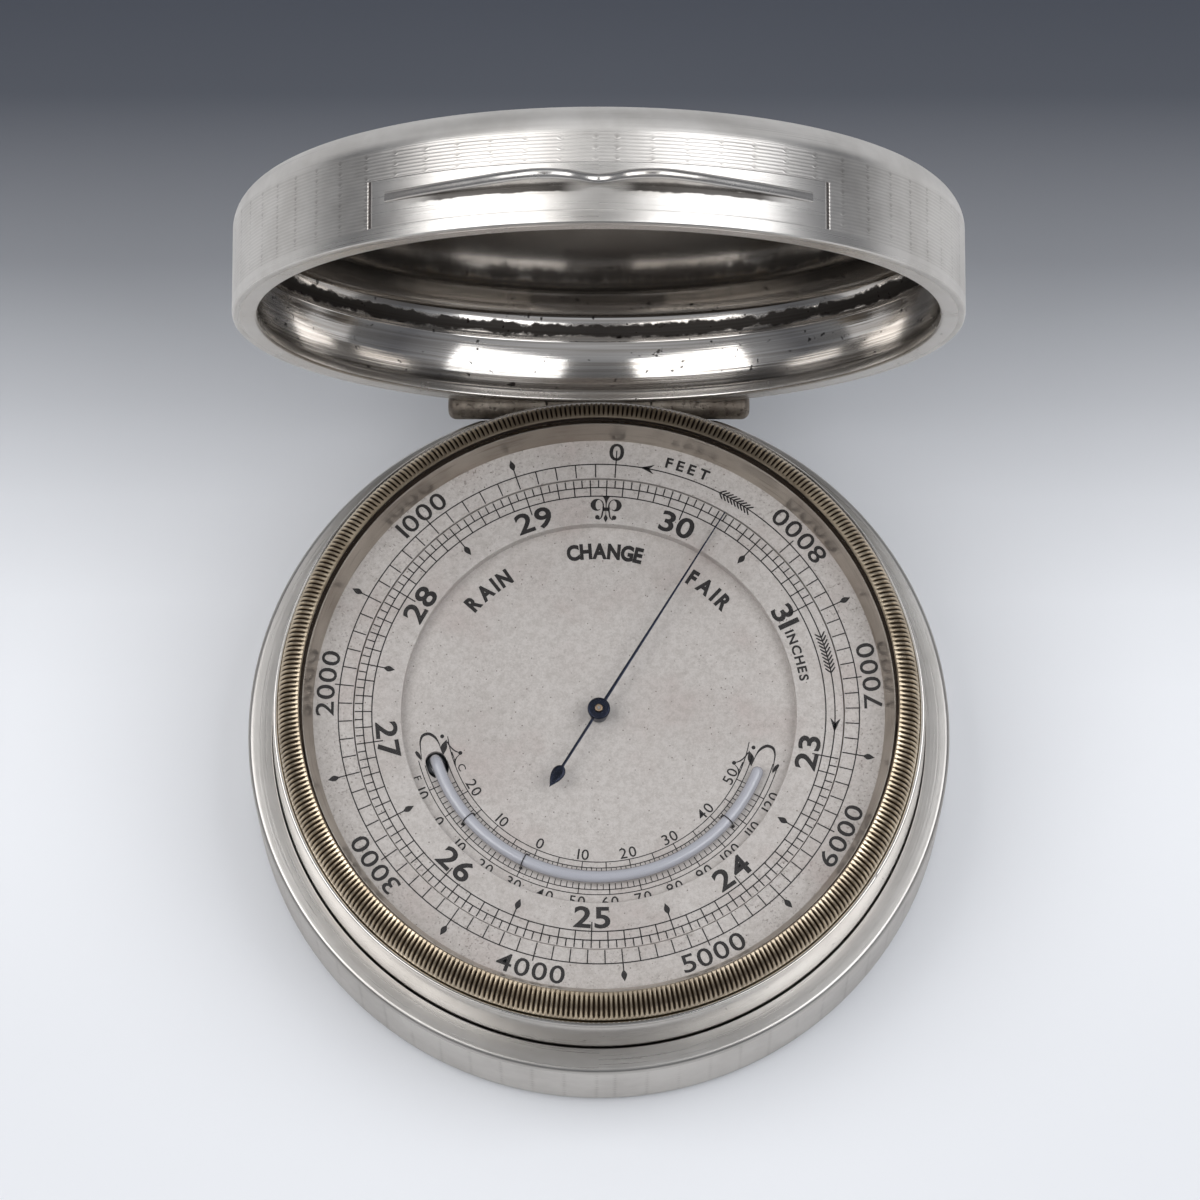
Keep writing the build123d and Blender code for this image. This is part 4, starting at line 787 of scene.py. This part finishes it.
class Pen:
    # draws on the face of one dial and keeps what it has drawn
    def __init__(self, face):
        self.low, self.high, self.drawn = face - wax["sunk"], face + wax["proud"], []

    def ticks(self, degrees, inner, outer, width=wax["line"]):
        # straight marks along the radius at each angle, each a closed slab
        out = aroundAxis(1.0, np.radians(np.atleast_1d(degrees)))[:, :2]
        side = np.stack([-out[:, 1], out[:, 0]], -1) * width / 2
        corners = np.stack([out * inner - side, out * outer - side, out * outer + side, out * inner + side], 1)
        points = np.concatenate([np.insert(corners, 2, z, axis=2) for z in (self.low, self.high)], 1).reshape(-1, 3)
        faces = (np.arange(len(out))[:, None, None] * 8 + wax["boxFaces"]).reshape(-1, 4)
        self.drawn.append((points, faces, np.zeros((len(faces), 4, 2))))

    def ribbon(self, left, right):
        # a closed strip between two edge lines
        edges = ((left, self.low), (right, self.low), (right, self.high), (left, self.high))
        sections = np.stack([np.insert(edge, 2, z, axis=1) for edge, z in edges], 1)
        self.drawn.append(outwardFaces(closedEnds(sections)))

    def ring(self, radius, start=0.0, end=360.0, width=wax["line"]):
        # a line round the dial, between two angles
        count = max(8, int((end - start) * radius * 0.025))
        out = aroundAxis(1.0, np.radians(np.linspace(start, end, count + 1)))[:, :2]
        self.ribbon(out * (radius - width / 2), out * (radius + width / 2))

    def stroke(self, path, widths, where):
        # a pen line that swells and thins, through its points
        origin, right, up = where
        path = np.array(path, float)
        t = np.concatenate([[0], np.cumsum(np.linalg.norm(np.diff(path, axis=0), axis=1))])
        wanted = np.linspace(0, t[-1], max(10, 5 * len(path)))
        x, y, width = (smoothThrough(wanted, t, column) for column in (*path.T, widths))
        along = unit(np.stack([np.gradient(x), np.gradient(y)], -1))
        across = np.stack([-along[:, 1], along[:, 0]], -1) * np.maximum(width, 0.02)[:, None] / 2
        line = np.stack([x, y], -1)
        self.ribbon(*(origin + edge[:, :1] * right + edge[:, 1:] * up for edge in (line - across, line + across)))

    def dot(self, x, y, radius, where):
        origin, right, up = where
        middle = np.append(origin + x * right + y * up, 0)
        part = turned([(0, self.low), (radius, self.low), (radius, self.high), (0, self.high)], 16, closed=False)
        self.drawn.append(reshaped(part, lambda points: points + middle))

    def write(self, letters, words, radius, degrees, height, inward=False, gap=0.16):
        # letters set one by one round the dial, their middles at that radius
        shapes = [letters.shape(letter) for letter in words]
        widths = [points[:, 0].max() * height for points, faces in shapes]
        place = -(sum(widths) + gap * height * (len(words) - 1)) / 2
        for (points, faces), width in zip(shapes, widths):
            shift = (place + width / 2) / radius * 180 / pi
            origin, right, up = onDial(radius, degrees + (shift if inward else -shift), inward)
            x, y = points[:, :1] * height - width / 2, (points[:, 1:2] - 0.5) * height
            z = np.where(points[:, 2] > 0, self.high, self.low)
            points = np.column_stack([origin + x * right + y * up, z])
            self.drawn.append((points, faces, np.zeros((len(faces), 3, 2))))
            place += width + gap * height

    def diamondArrow(self, degrees, start, tip, inward):
        # a line that ends in a slim lozenge
        length = abs(tip - start)
        where, back = onDial(start, degrees, inward), length - 1.15
        self.stroke([(0, -0.02), (0, back / 2), (0, back + 0.1)], [wax["line"]] * 3, where)
        self.stroke([(0, back), (0, back + 0.42), (0, length)], [0.06, 0.56, 0.03], where)

    def arrowHead(self, radius, degrees, size, sign):
        # a swallow-tailed head; sign is 1 for clockwise
        where, back = onDial(radius, degrees), -sign * size
        for side in (-size, size):
            self.stroke([(back, side * 0.36), (back * 0.62, side * 0.13), (0, 0)], [0.04, size * 0.20, 0.05], where)
        self.stroke([(back * 0.7, 0), (back * 0.35, 0), (0, 0)], [0.1, size * 0.2, 0.04], where)

    def feathers(self, radius, start, end, count, length=0.50, width=0.16):
        # barbs on both sides of an arrow's tail, slanting back from its line
        lean = -length if end > start else length
        for degrees in np.linspace(start, end, count):
            for side in (-length, length):
                self.stroke([(0, 0), (lean * 0.5, side * 0.5), (lean * 1.05, side)],
                            [width * 0.8, width, width * 0.8], onDial(radius, degrees))

    def leafOrnament(self, degrees, radius):
        # a fleur hung from the scale: a wedge, a band and a small lozenge, between two curls that end in balls
        where = onDial(radius, degrees)
        self.stroke([(0, 0.02), (0, -0.2), (0, -0.55), (0, -1.3)], [0.86, 0.50, 0.22, 0.08], where)
        self.stroke([(-0.37, -1.37), (0, -1.37), (0.37, -1.37)], [0.42, 0.36, 0.42], where)
        self.stroke([(0, -1.5), (0, -1.95), (0, -2.32), (0, -2.72)], [0.07, 0.08, 0.40, 0.03], where)
        curl = [(0.72, -2.50), (0.47, -2.28), (0.34, -1.75), (0.27, -1.2), (0.36, -0.66), (0.72, -0.36),
                (1.12, -0.52), (1.30, -0.95), (1.14, -1.34), (0.82, -1.50), (0.56, -1.38)]
        for side in (-1, 1):
            self.stroke([(side * x, y) for x, y in curl],
                        [0.08, 0.12, 0.15, 0.15, 0.12, 0.08, 0.34, 0.52, 0.36, 0.13, 0.06], where)
            self.dot(side * 0.84, -2.24, 0.23, where)

    def made(self, name, body):
        makePiece(name, joined(self.drawn), body, "dark_wire", "ink", sharp=30)


class Lettering:
    # letters as flat meshes, each one made once, scaled so that a capital has height 1
    def __init__(self, weight, stretch):
        self.weight, self.stretch, self.shapes, self.capital = weight, stretch, {}, 1.0
        self.capital, self.shapes = np.ptp(self.shape("H")[0][:, 1]), {}

    def shape(self, letter):
        if letter not in self.shapes:
            curve = bpy.data.curves.new("letter", "FONT")
            curve.body, curve.offset, curve.extrude, curve.resolution_u = letter, self.weight, 0.5, 4
            text = bpy.data.objects.new("letter", curve)
            bpy.context.scene.collection.objects.link(text)
            bpy.context.view_layer.update()
            mesh = bpy.data.meshes.new_from_object(text.evaluated_get(bpy.context.evaluated_depsgraph_get()))
            mesh.calc_loop_triangles()
            points = np.empty(len(mesh.vertices) * 3)
            mesh.vertices.foreach_get("co", points)
            faces = np.empty(len(mesh.loop_triangles) * 3, np.int32)
            mesh.loop_triangles.foreach_get("vertices", faces)
            bpy.data.objects.remove(text)
            bpy.data.meshes.remove(mesh)
            bpy.data.curves.remove(curve)
            points = points.reshape(-1, 3) / [self.capital / self.stretch, self.capital, 1]
            points[:, 0] -= points[:, 0].min()
            self.shapes[letter] = points, faces.reshape(-1, 3)
        return self.shapes[letter]


# (weight, stretch) of each hand
boldFigures, plainFigures, smallFigures, fineLetters, wordLetters = (
    Lettering(*hand) for hand in ((0.022, 1.22), (0.008, 1.28), (0.006, 1.06), (0.030, 1.08), (0.050, 0.84)))


def degreesAtPressure(inches):
    # 30 inches at 68 degrees, then 40 degrees for each inch less
    return 68.05 + 40.03 * (30 - inches)


def degreesAtHeight(feet):
    # nought at 86.2 degrees; equal steps of height close up as the air thins: 1 - e^(-h / 27500)
    return 86.2 + 1252.4 * (1 - np.exp(-feet / 27500))


def degreesAtCelsius(c):
    return 246.4 + 1.75 * c


def degreesAtFahrenheit(f):
    return 214.8 + 0.976 * f


pressure = dict(middle=23.3, inner=22.4, wholeInch=21.45, outer=24.08, figureRadius=20.95, figureHeight=2.15,
                wordRadius=20.6, leafInches=29.5, arrow=-5.2, tail=(9.8, 19.0))
altitude = dict(line=25.7, start=24.32, figureRadius=27.05, figureHeight=1.78, arrowTip=27.55, arrow=80.6,
                tail=(62.0, 55.0))
weather = dict(radius=17.1, height=1.66,
               words=(("RAIN", 130.4, 0.20), ("CHANGE", 88.0, 0.03), ("FAIR", 49.6, 0.24)))
celsius = dict(inner=15.1, middle=15.7, figures=14.4)
fahrenheit = dict(inner=17.3, middle=17.9, outer=18.4, figures=19.15)


def pressureMarks():
    pen, p = Pen(dials["pressureTop"]), pressure
    tenths, whole = np.arange(230, 311) / 10, np.arange(23, 32)
    pen.ring(p["middle"])
    pen.ring(p["inner"])
    for inches, start, end in ((tenths, "inner", "outer"), (tenths[:-1] + 0.05, "middle", "outer"),
                               (whole, "wholeInch", "inner")):
        pen.ticks(degreesAtPressure(inches), p[start], p[end])
    for inches in whole:
        pen.write(boldFigures, str(inches), p["figureRadius"], degreesAtPressure(inches), p["figureHeight"],
                  inches < 28, 0.13)
    for inches in whole[:-1] + 0.5:
        if inches != p["leafInches"]:
            pen.diamondArrow(degreesAtPressure(inches), p["inner"], p["wordRadius"], True)
    pen.leafOrnament(degreesAtPressure(p["leafInches"]), p["inner"])
    pen.write(fineLetters, "INCHES", p["wordRadius"], 16.3, 0.95, gap=0.24)
    pen.arrowHead(p["middle"], p["arrow"], 1.35, 1)
    pen.feathers(p["middle"], *p["tail"], 10)
    pen.made("pressureMarks", "case")


def altitudeMarks():
    pen, a = Pen(dials["ringTop"]), altitude
    places = degreesAtHeight(np.arange(0, 8001, 100))
    pen.ring(a["line"])
    pen.ticks(places, a["start"], a["line"])
    pen.ticks(places[10::10], a["line"], a["line"] + 0.5)
    pen.ticks(places[0], a["line"], a["line"] + 1.5)
    for feet in range(500, 8000, 1000):
        pen.diamondArrow(degreesAtHeight(feet), a["line"], a["arrowTip"], False)
    for feet in range(0, 8001, 1000):
        pen.write(plainFigures, str(feet), a["figureRadius"], degreesAtHeight(feet), a["figureHeight"],
                  feet > 3500, 0.15)
    pen.write(fineLetters, "FEET", 26.8, 70.6, 1.10, gap=0.42)
    pen.arrowHead(a["line"], a["arrow"], 1.3, -1)
    pen.feathers(a["line"], *a["tail"], 9)
    pen.made("altitudeMarks", "bezel")


def centreMarks():
    pen, c, f = Pen(dials["centreTop"]), celsius, fahrenheit
    for word, degrees, gap in weather["words"]:
        pen.write(wordLetters, word, weather["radius"], degrees, weather["height"], gap=gap)
    for radius, start, end in ((c["inner"], 188.6, 349.2), (c["middle"], 197.5, 344.5),
                               (f["middle"], 197.0, 343.5), (f["outer"], 195.0, 342.8)):
        pen.ring(radius, start, end, 0.09)
    pen.ticks(degreesAtCelsius(np.arange(-23, 51)), c["middle"], c["middle"] + 0.5, wax["fine"])
    pen.ticks(degreesAtCelsius(np.arange(-20, 51, 5)), c["inner"], c["middle"], 0.1)
    pen.ticks(degreesAtFahrenheit(np.arange(-12, 121, 2)), f["inner"], f["middle"], wax["fine"])
    pen.ticks(degreesAtFahrenheit(np.arange(-10, 121, 10)), f["inner"], f["outer"], 0.1)
    for numbers, radius, placed in ((range(-20, 51, 10), c["figures"], degreesAtCelsius),
                                    (range(-10, 121, 10), f["figures"], degreesAtFahrenheit)):
        for number in numbers:
            pen.write(smallFigures, str(abs(number)), radius, placed(number), 1.05, True, 0.2)
    pen.write(smallFigures, "C", 14.55, 201.9, 0.72, True)
    pen.write(smallFigures, "F", 19.0, 200.2, 0.72, True)
    scroll(pen, 186.8, 1)
    scroll(pen, 348.9, -1)
    pen.made("thermometerMarks", "case")


def scroll(pen, degrees, side):
    # a penned flourish over the tube's end: (radius, run back from the arch's top, width) for each point
    def at(r, run):
        return aroundAxis(r, radians(degrees) + side * run / r)[:2]

    for line in (
            [(18.07, 2.5, 0.06), (17.94, 1.4, 0.10), (17.85, 0.7, 0.16), (17.52, 0.1, 0.27), (16.95, -0.02, 0.30),
             (16.37, 0.40, 0.24), (16.08, 1.0, 0.12), (15.98, 1.8, 0.05)],
            [(15.26, 0.8, 0.04), (15.66, 1.55, 0.62), (15.92, 2.3, 0.08)],
            [(15.25, 1.0, 0.12), (15.0, 1.6, 0.12), (14.67, 2.05, 0.13), (14.25, 2.3, 0.08)],
            [(14.30, 2.45, 0.05), (14.7, 2.75, 0.10), (14.97, 3.1, 0.16), (15.05, 3.6, 0.03)],
            [(15.04, 2.1, 0.16), (14.97, 2.75, 0.08), (15.04, 3.4, 0.05)],
            [(18.47, 1.65, 0.20), (18.32, 1.95, 0.36), (18.12, 2.65, 0.03)]):
        pen.stroke([at(r, run) for r, run, width in line], [width for r, run, width in line], onFlat)
    for r, run in ((15.63, 0.40), (14.22, 2.32)):
        pen.dot(*at(r, run), 0.20, onFlat)


pressureMarks()
altitudeMarks()
centreMarks()
print("markings made")

# thermometer and pointer

tube = dict(radius=0.6, arc=16.75, z=18.45, tip=-21.5, turn=-160.5, bend=1.0, down=16.3,
            clips=(220.0, 244.0, 319.0), wire=0.055, mercury=0.13, mercuryTip=-47.0, mercuryDown=16.0)


def tubePath(tipDegrees, bottom):
    # round the dial at one height, then a quarter turn down through it
    arc = aroundAxis(tube["arc"], np.radians(np.linspace(tipDegrees, tube["turn"], 120)), tube["z"])
    onward = np.array([sin(radians(tube["turn"])), -cos(radians(tube["turn"])), 0])
    fall = np.radians(np.linspace(0, 90, 12))[1:]
    bend = arc[-1] + (np.outer(np.sin(fall), onward) + np.outer(np.cos(fall) - 1, [0, 0, 1])) * tube["bend"]
    return np.concatenate([arc, bend, [[*bend[-1][:2], bottom]]])


def thermometerTube():
    # round glass with a domed end, and its bulb under the dial
    path = tubePath(tube["tip"], tube["down"])
    dome = np.radians([90, 72, 54, 36, 18])
    cap = path[0] + np.outer(np.sin(dome) * tube["radius"], unit(path[0] - path[1]))
    radii = np.append(tube["radius"] * np.cos(dome) + 0.01, np.full(len(path), tube["radius"]))
    path = np.concatenate([cap, path])
    glass = sweptRound(path, radii, 20, unit(path * [1, 1, 0]))
    bulb = turnedPlug([(0, 16.3, 0), (1.0, 16.3, 0.4), (1.0, 11.8, 0.5), (0, 11.8, 0)], 24)
    foot = path[-1] * [1, 1, 0]
    return joined([glass, reshaped(bulb, lambda points: points + foot)])


def mercuryColumn():
    path = tubePath(tube["mercuryTip"], tube["mercuryDown"])
    return sweptRound(path, tube["mercury"], 8, path * [1, 1, 0] / tube["arc"])


def clips():
    # fine wire arches over the tube, their feet let into the dial under small knobs
    parts = []
    reach, base = tube["radius"] + 0.09, dials["centreTop"]
    t = np.linspace(0, pi, 15)
    for degrees in tube["clips"]:
        turn = radians(degrees)
        arch = aroundAxis(tube["arc"] + reach * np.cos(t), turn, tube["z"] + reach * np.sin(t))
        feet = aroundAxis(tube["arc"] + np.array([reach, -reach]), turn, base - 0.1)
        path = np.concatenate([feet[:1], arch, feet[1:]])
        parts.append(sweptRound(path, tube["wire"], 8, aroundAxis(1.0, turn + pi / 2)))
        for away in (reach + 0.04, -reach - 0.04):
            knob = turned([(0, -0.05), (0.17, -0.05), (0.15, 0.14), (0, 0.18)], 12, closed=False)
            spot = aroundAxis(tube["arc"] + away, turn, base)
            parts.append(reshaped(knob, lambda points: points + spot))
    return joined(parts)


makePiece("thermometerTube", thermometerTube(), "case", "tube_glass", "tubeGlass", "thermometer_tube", 60)
makePiece("thermometerColumn", mercuryColumn(), "case", "mercury", "mercury", "thermometer_column", 60)
makePiece("thermometerClips", clips(), "case", "dark_wire", "ink", "thermometer_clips", 60)

pointer = dict(angle=58.5, level=19.55, top=19.7, length=24.05, root=0.34, tip=0.12, tail=9.3, stem=6.8,
               stemWidth=0.28, leaf=1.3, widest=0.68)
bladeSection = dict(side=np.array([-1, -0.86, -0.4, 0, 0.4, 0.86, 1, 1, 0, -1]),
                    rise=np.array([0.35, 0.8, 0.95, 1, 0.95, 0.8, 0.35, 0, 0, 0]))


def needle():
    # the half width narrows evenly to the tip; at the tail it swells into a spade:
    # sine up to its widest, then a round
    p = pointer
    x = np.concatenate([np.linspace(-p["tail"], -p["stem"], 34), np.linspace(-p["stem"] + 0.3, 0.3, 6),
                        np.linspace(1.0, p["length"], 24)])
    s = np.clip((x + p["tail"]) / (p["tail"] - p["stem"]), 0, 1)
    swelling = s < p["widest"]
    point = np.sin(pi / 2 * np.clip(s / p["widest"], 0, 1)) ** 1.1
    shoulder = np.sqrt(np.clip(1 - ((s - p["widest"]) / (1 - p["widest"])) ** 2, 0, 1))
    leaf = p["leaf"] / 2 * np.where(swelling, point, shoulder)
    blade = np.where(x > 0, p["root"] / 2 + (p["tip"] - p["root"]) / 2 * x / p["length"], p["stemWidth"] / 2)
    half = np.where(x < -p["stem"], np.maximum(leaf, np.where(swelling, 0.02, p["stemWidth"] / 2)), blade)
    y = half[:, None] * bladeSection["side"]
    z = p["level"] + (p["top"] - p["level"]) * bladeSection["rise"]
    c, s = cos(radians(p["angle"])), sin(radians(p["angle"]))
    return closedEnds(np.stack(np.broadcast_arrays(x[:, None] * c - y * s, x[:, None] * s + y * c, z), -1))


makePiece("pointerNeedle", needle(), "pointer", "blued_steel", "blue", "pointer", 45)
makePiece("pointerHub", turnedRing([(0.45, 18.05, 0), (0.9, 18.05, 0), (0.9, 19.5, 0), (1.12, 19.7, 0.05),
                                    (1.12, 20.1, 0.18), (0.45, 20.1, 0.05)], 64),
          "pointer", "blued_steel", "blue", "pointer_hub", 40)
makePiece("arborEnd", turnedPlug([(0, 20.16, 0), (0.12, 20.16, 0.02), (0.16, 20.24, 0.03), (0.36, 20.24, 0.06),
                                  (0.42, 20.05, 0), (0.42, 12.6, 0), (0, 12.6, 0)], 48),
          "pointer", "brass", "arbor", sharp=40)
print("thermometer and pointer made")

# the works keep their solid shapes and get their own metals

metalOf = dict(
    brass="""barometer_drum movement_plate dial_pillars capsule_stud main_lever short_arm chain_arm shaft_posts
        arbor_bridge bridge_pillars chain_drum hairspring_collet hairspring_post""",
    steel="knife_edge mainspring link_pin link rocking_shaft pointer_arbor fusee_chain adjusting_screw",
    blue="plate_screws spring_screws bridge_screws hairspring", nickel="capsule_base capsule_diaphragm",
    iron="spring_block", dial="centre_dial")
for finish, nodes in metalOf.items():
    for node in nodes.split():
        cad[node].data.materials.clear()
        cad[node].data.materials.append(finishes[finish])

# floor, light and camera

floorSize = 3.0
floorMesh = bpy.data.meshes.new("floor")
floorMesh.from_pydata([(x * floorSize, y * floorSize, 0) for x, y in ((-1, -1), (1, -1), (1, 1), (-1, 1))], [],
                      [(0, 1, 2, 3)])
floor = bpy.data.objects.new("floor", floorMesh)
bpy.context.scene.collection.objects.link(floor)
# the floor's painted light and shade: a ramp along y between a lit and a shaded colour, scaled by the falloff table
paper = dict(paintedLight=(0.83, 0.847, 0.88), shade=(0.055, 0.062, 0.080), mirrored=(0.74, 0.74, 0.745), start=-30.0,
             length=130.0, paintedFalloff=((-30, 1.0), (8, 1.07), (17.6, 1.04), (28.5, 0.88), (39.5, 0.60), (55, 0.27),
                                    (74, 0.05), (95, 0.0)))


def floorFinish():
    # pale paper with painted light and shade: brightest round the case's middle, darkening into painted shade
    # towards and behind its back; mirrored in the silver it stays pale
    made = Finish("paper", 0.0, **{"Specular IOR Level": 0.0})
    y = made.parts(made.place())[1] * 1000.0
    paintedLight, shade = np.array(paper["paintedLight"]), np.array(paper["shade"])
    stops = [((at - paper["start"]) / paper["length"], tuple(shade + (paintedLight - shade) * share))
             for at, share in paper["paintedFalloff"]]
    mirrored = made.node("ShaderNodeLightPath", output="Is Glossy Ray")
    return made.coat(0.9, made.ramp((y - paper["start"]) / paper["length"], *stops), (mirrored, paper["mirrored"]))


floorMesh.materials.append(floorFinish())

world = bpy.data.worlds.new("studio")
bpy.context.scene.world = world
world.use_nodes = True


def worldLight():
    # a dim room: lighter overhead, darkest a little above the horizon
    tree = world.node_tree
    place, split, ramp = (tree.nodes.new("ShaderNode" + kind) for kind in ("TexCoord", "SeparateXYZ", "ValToRGB"))
    setStops(ramp.color_ramp.elements, ((0.0, (0.20, 0.205, 0.215)), (0.30, (0.14, 0.145, 0.16)),
                                        (0.80, (0.50, 0.51, 0.53)), (0.985, (0.14, 0.143, 0.15))))
    tree.links.new(place.outputs["Generated"], split.inputs[0])
    tree.links.new(split.outputs[2], ramp.inputs[0])
    tree.links.new(ramp.outputs[0], tree.nodes["Background"].inputs["Color"])


worldLight()


def place(name, data, at, toward):
    holder = bpy.data.objects.new(name, data)
    holder.location = at
    holder.rotation_euler = Vector(toward).to_track_quat("-Z", "Y").to_euler()
    bpy.context.scene.collection.objects.link(holder)
    return holder


def softbox(name, at, width, height, radiance, colour=(1, 1, 1)):
    # a lamp of the given brightness per area, aimed at the dial: power = pi x area x radiance
    lamp = bpy.data.lights.new(name, "AREA")
    lamp.shape, lamp.size, lamp.size_y, lamp.color = "RECTANGLE", width, height, colour
    lamp.energy = pi * width * height * radiance
    place(name, lamp, at, Vector((0, 0, 0.02)) - Vector(at))


softbox("leftBox", (-0.51, -0.05, 0.83), 0.80, 0.66, 2.6, (1.0, 0.99, 0.98))
softbox("rightBox", (0.51, -0.05, 0.83), 0.80, 0.66, 2.6, (0.985, 0.99, 1.0))
softbox("backBox", (0.0, 0.40, 0.86), 0.50, 0.34, 0.55)

view = dict(place=(0.112, -155.914, 540.259), along=(0, 0.3058, -0.9521), focus=5514.576, picture=1200, sensor=36.0)
camera = bpy.data.cameras.new("camera")
camera.sensor_width = view["sensor"]
camera.lens = view["focus"] * view["sensor"] / view["picture"]
camera.clip_start, camera.clip_end = 0.01, 20
bpy.context.scene.camera = place("camera", camera, Vector(view["place"]) * mm, view["along"])
bpy.context.scene.view_settings.view_transform = "Standard"
print("floor, light and camera made")
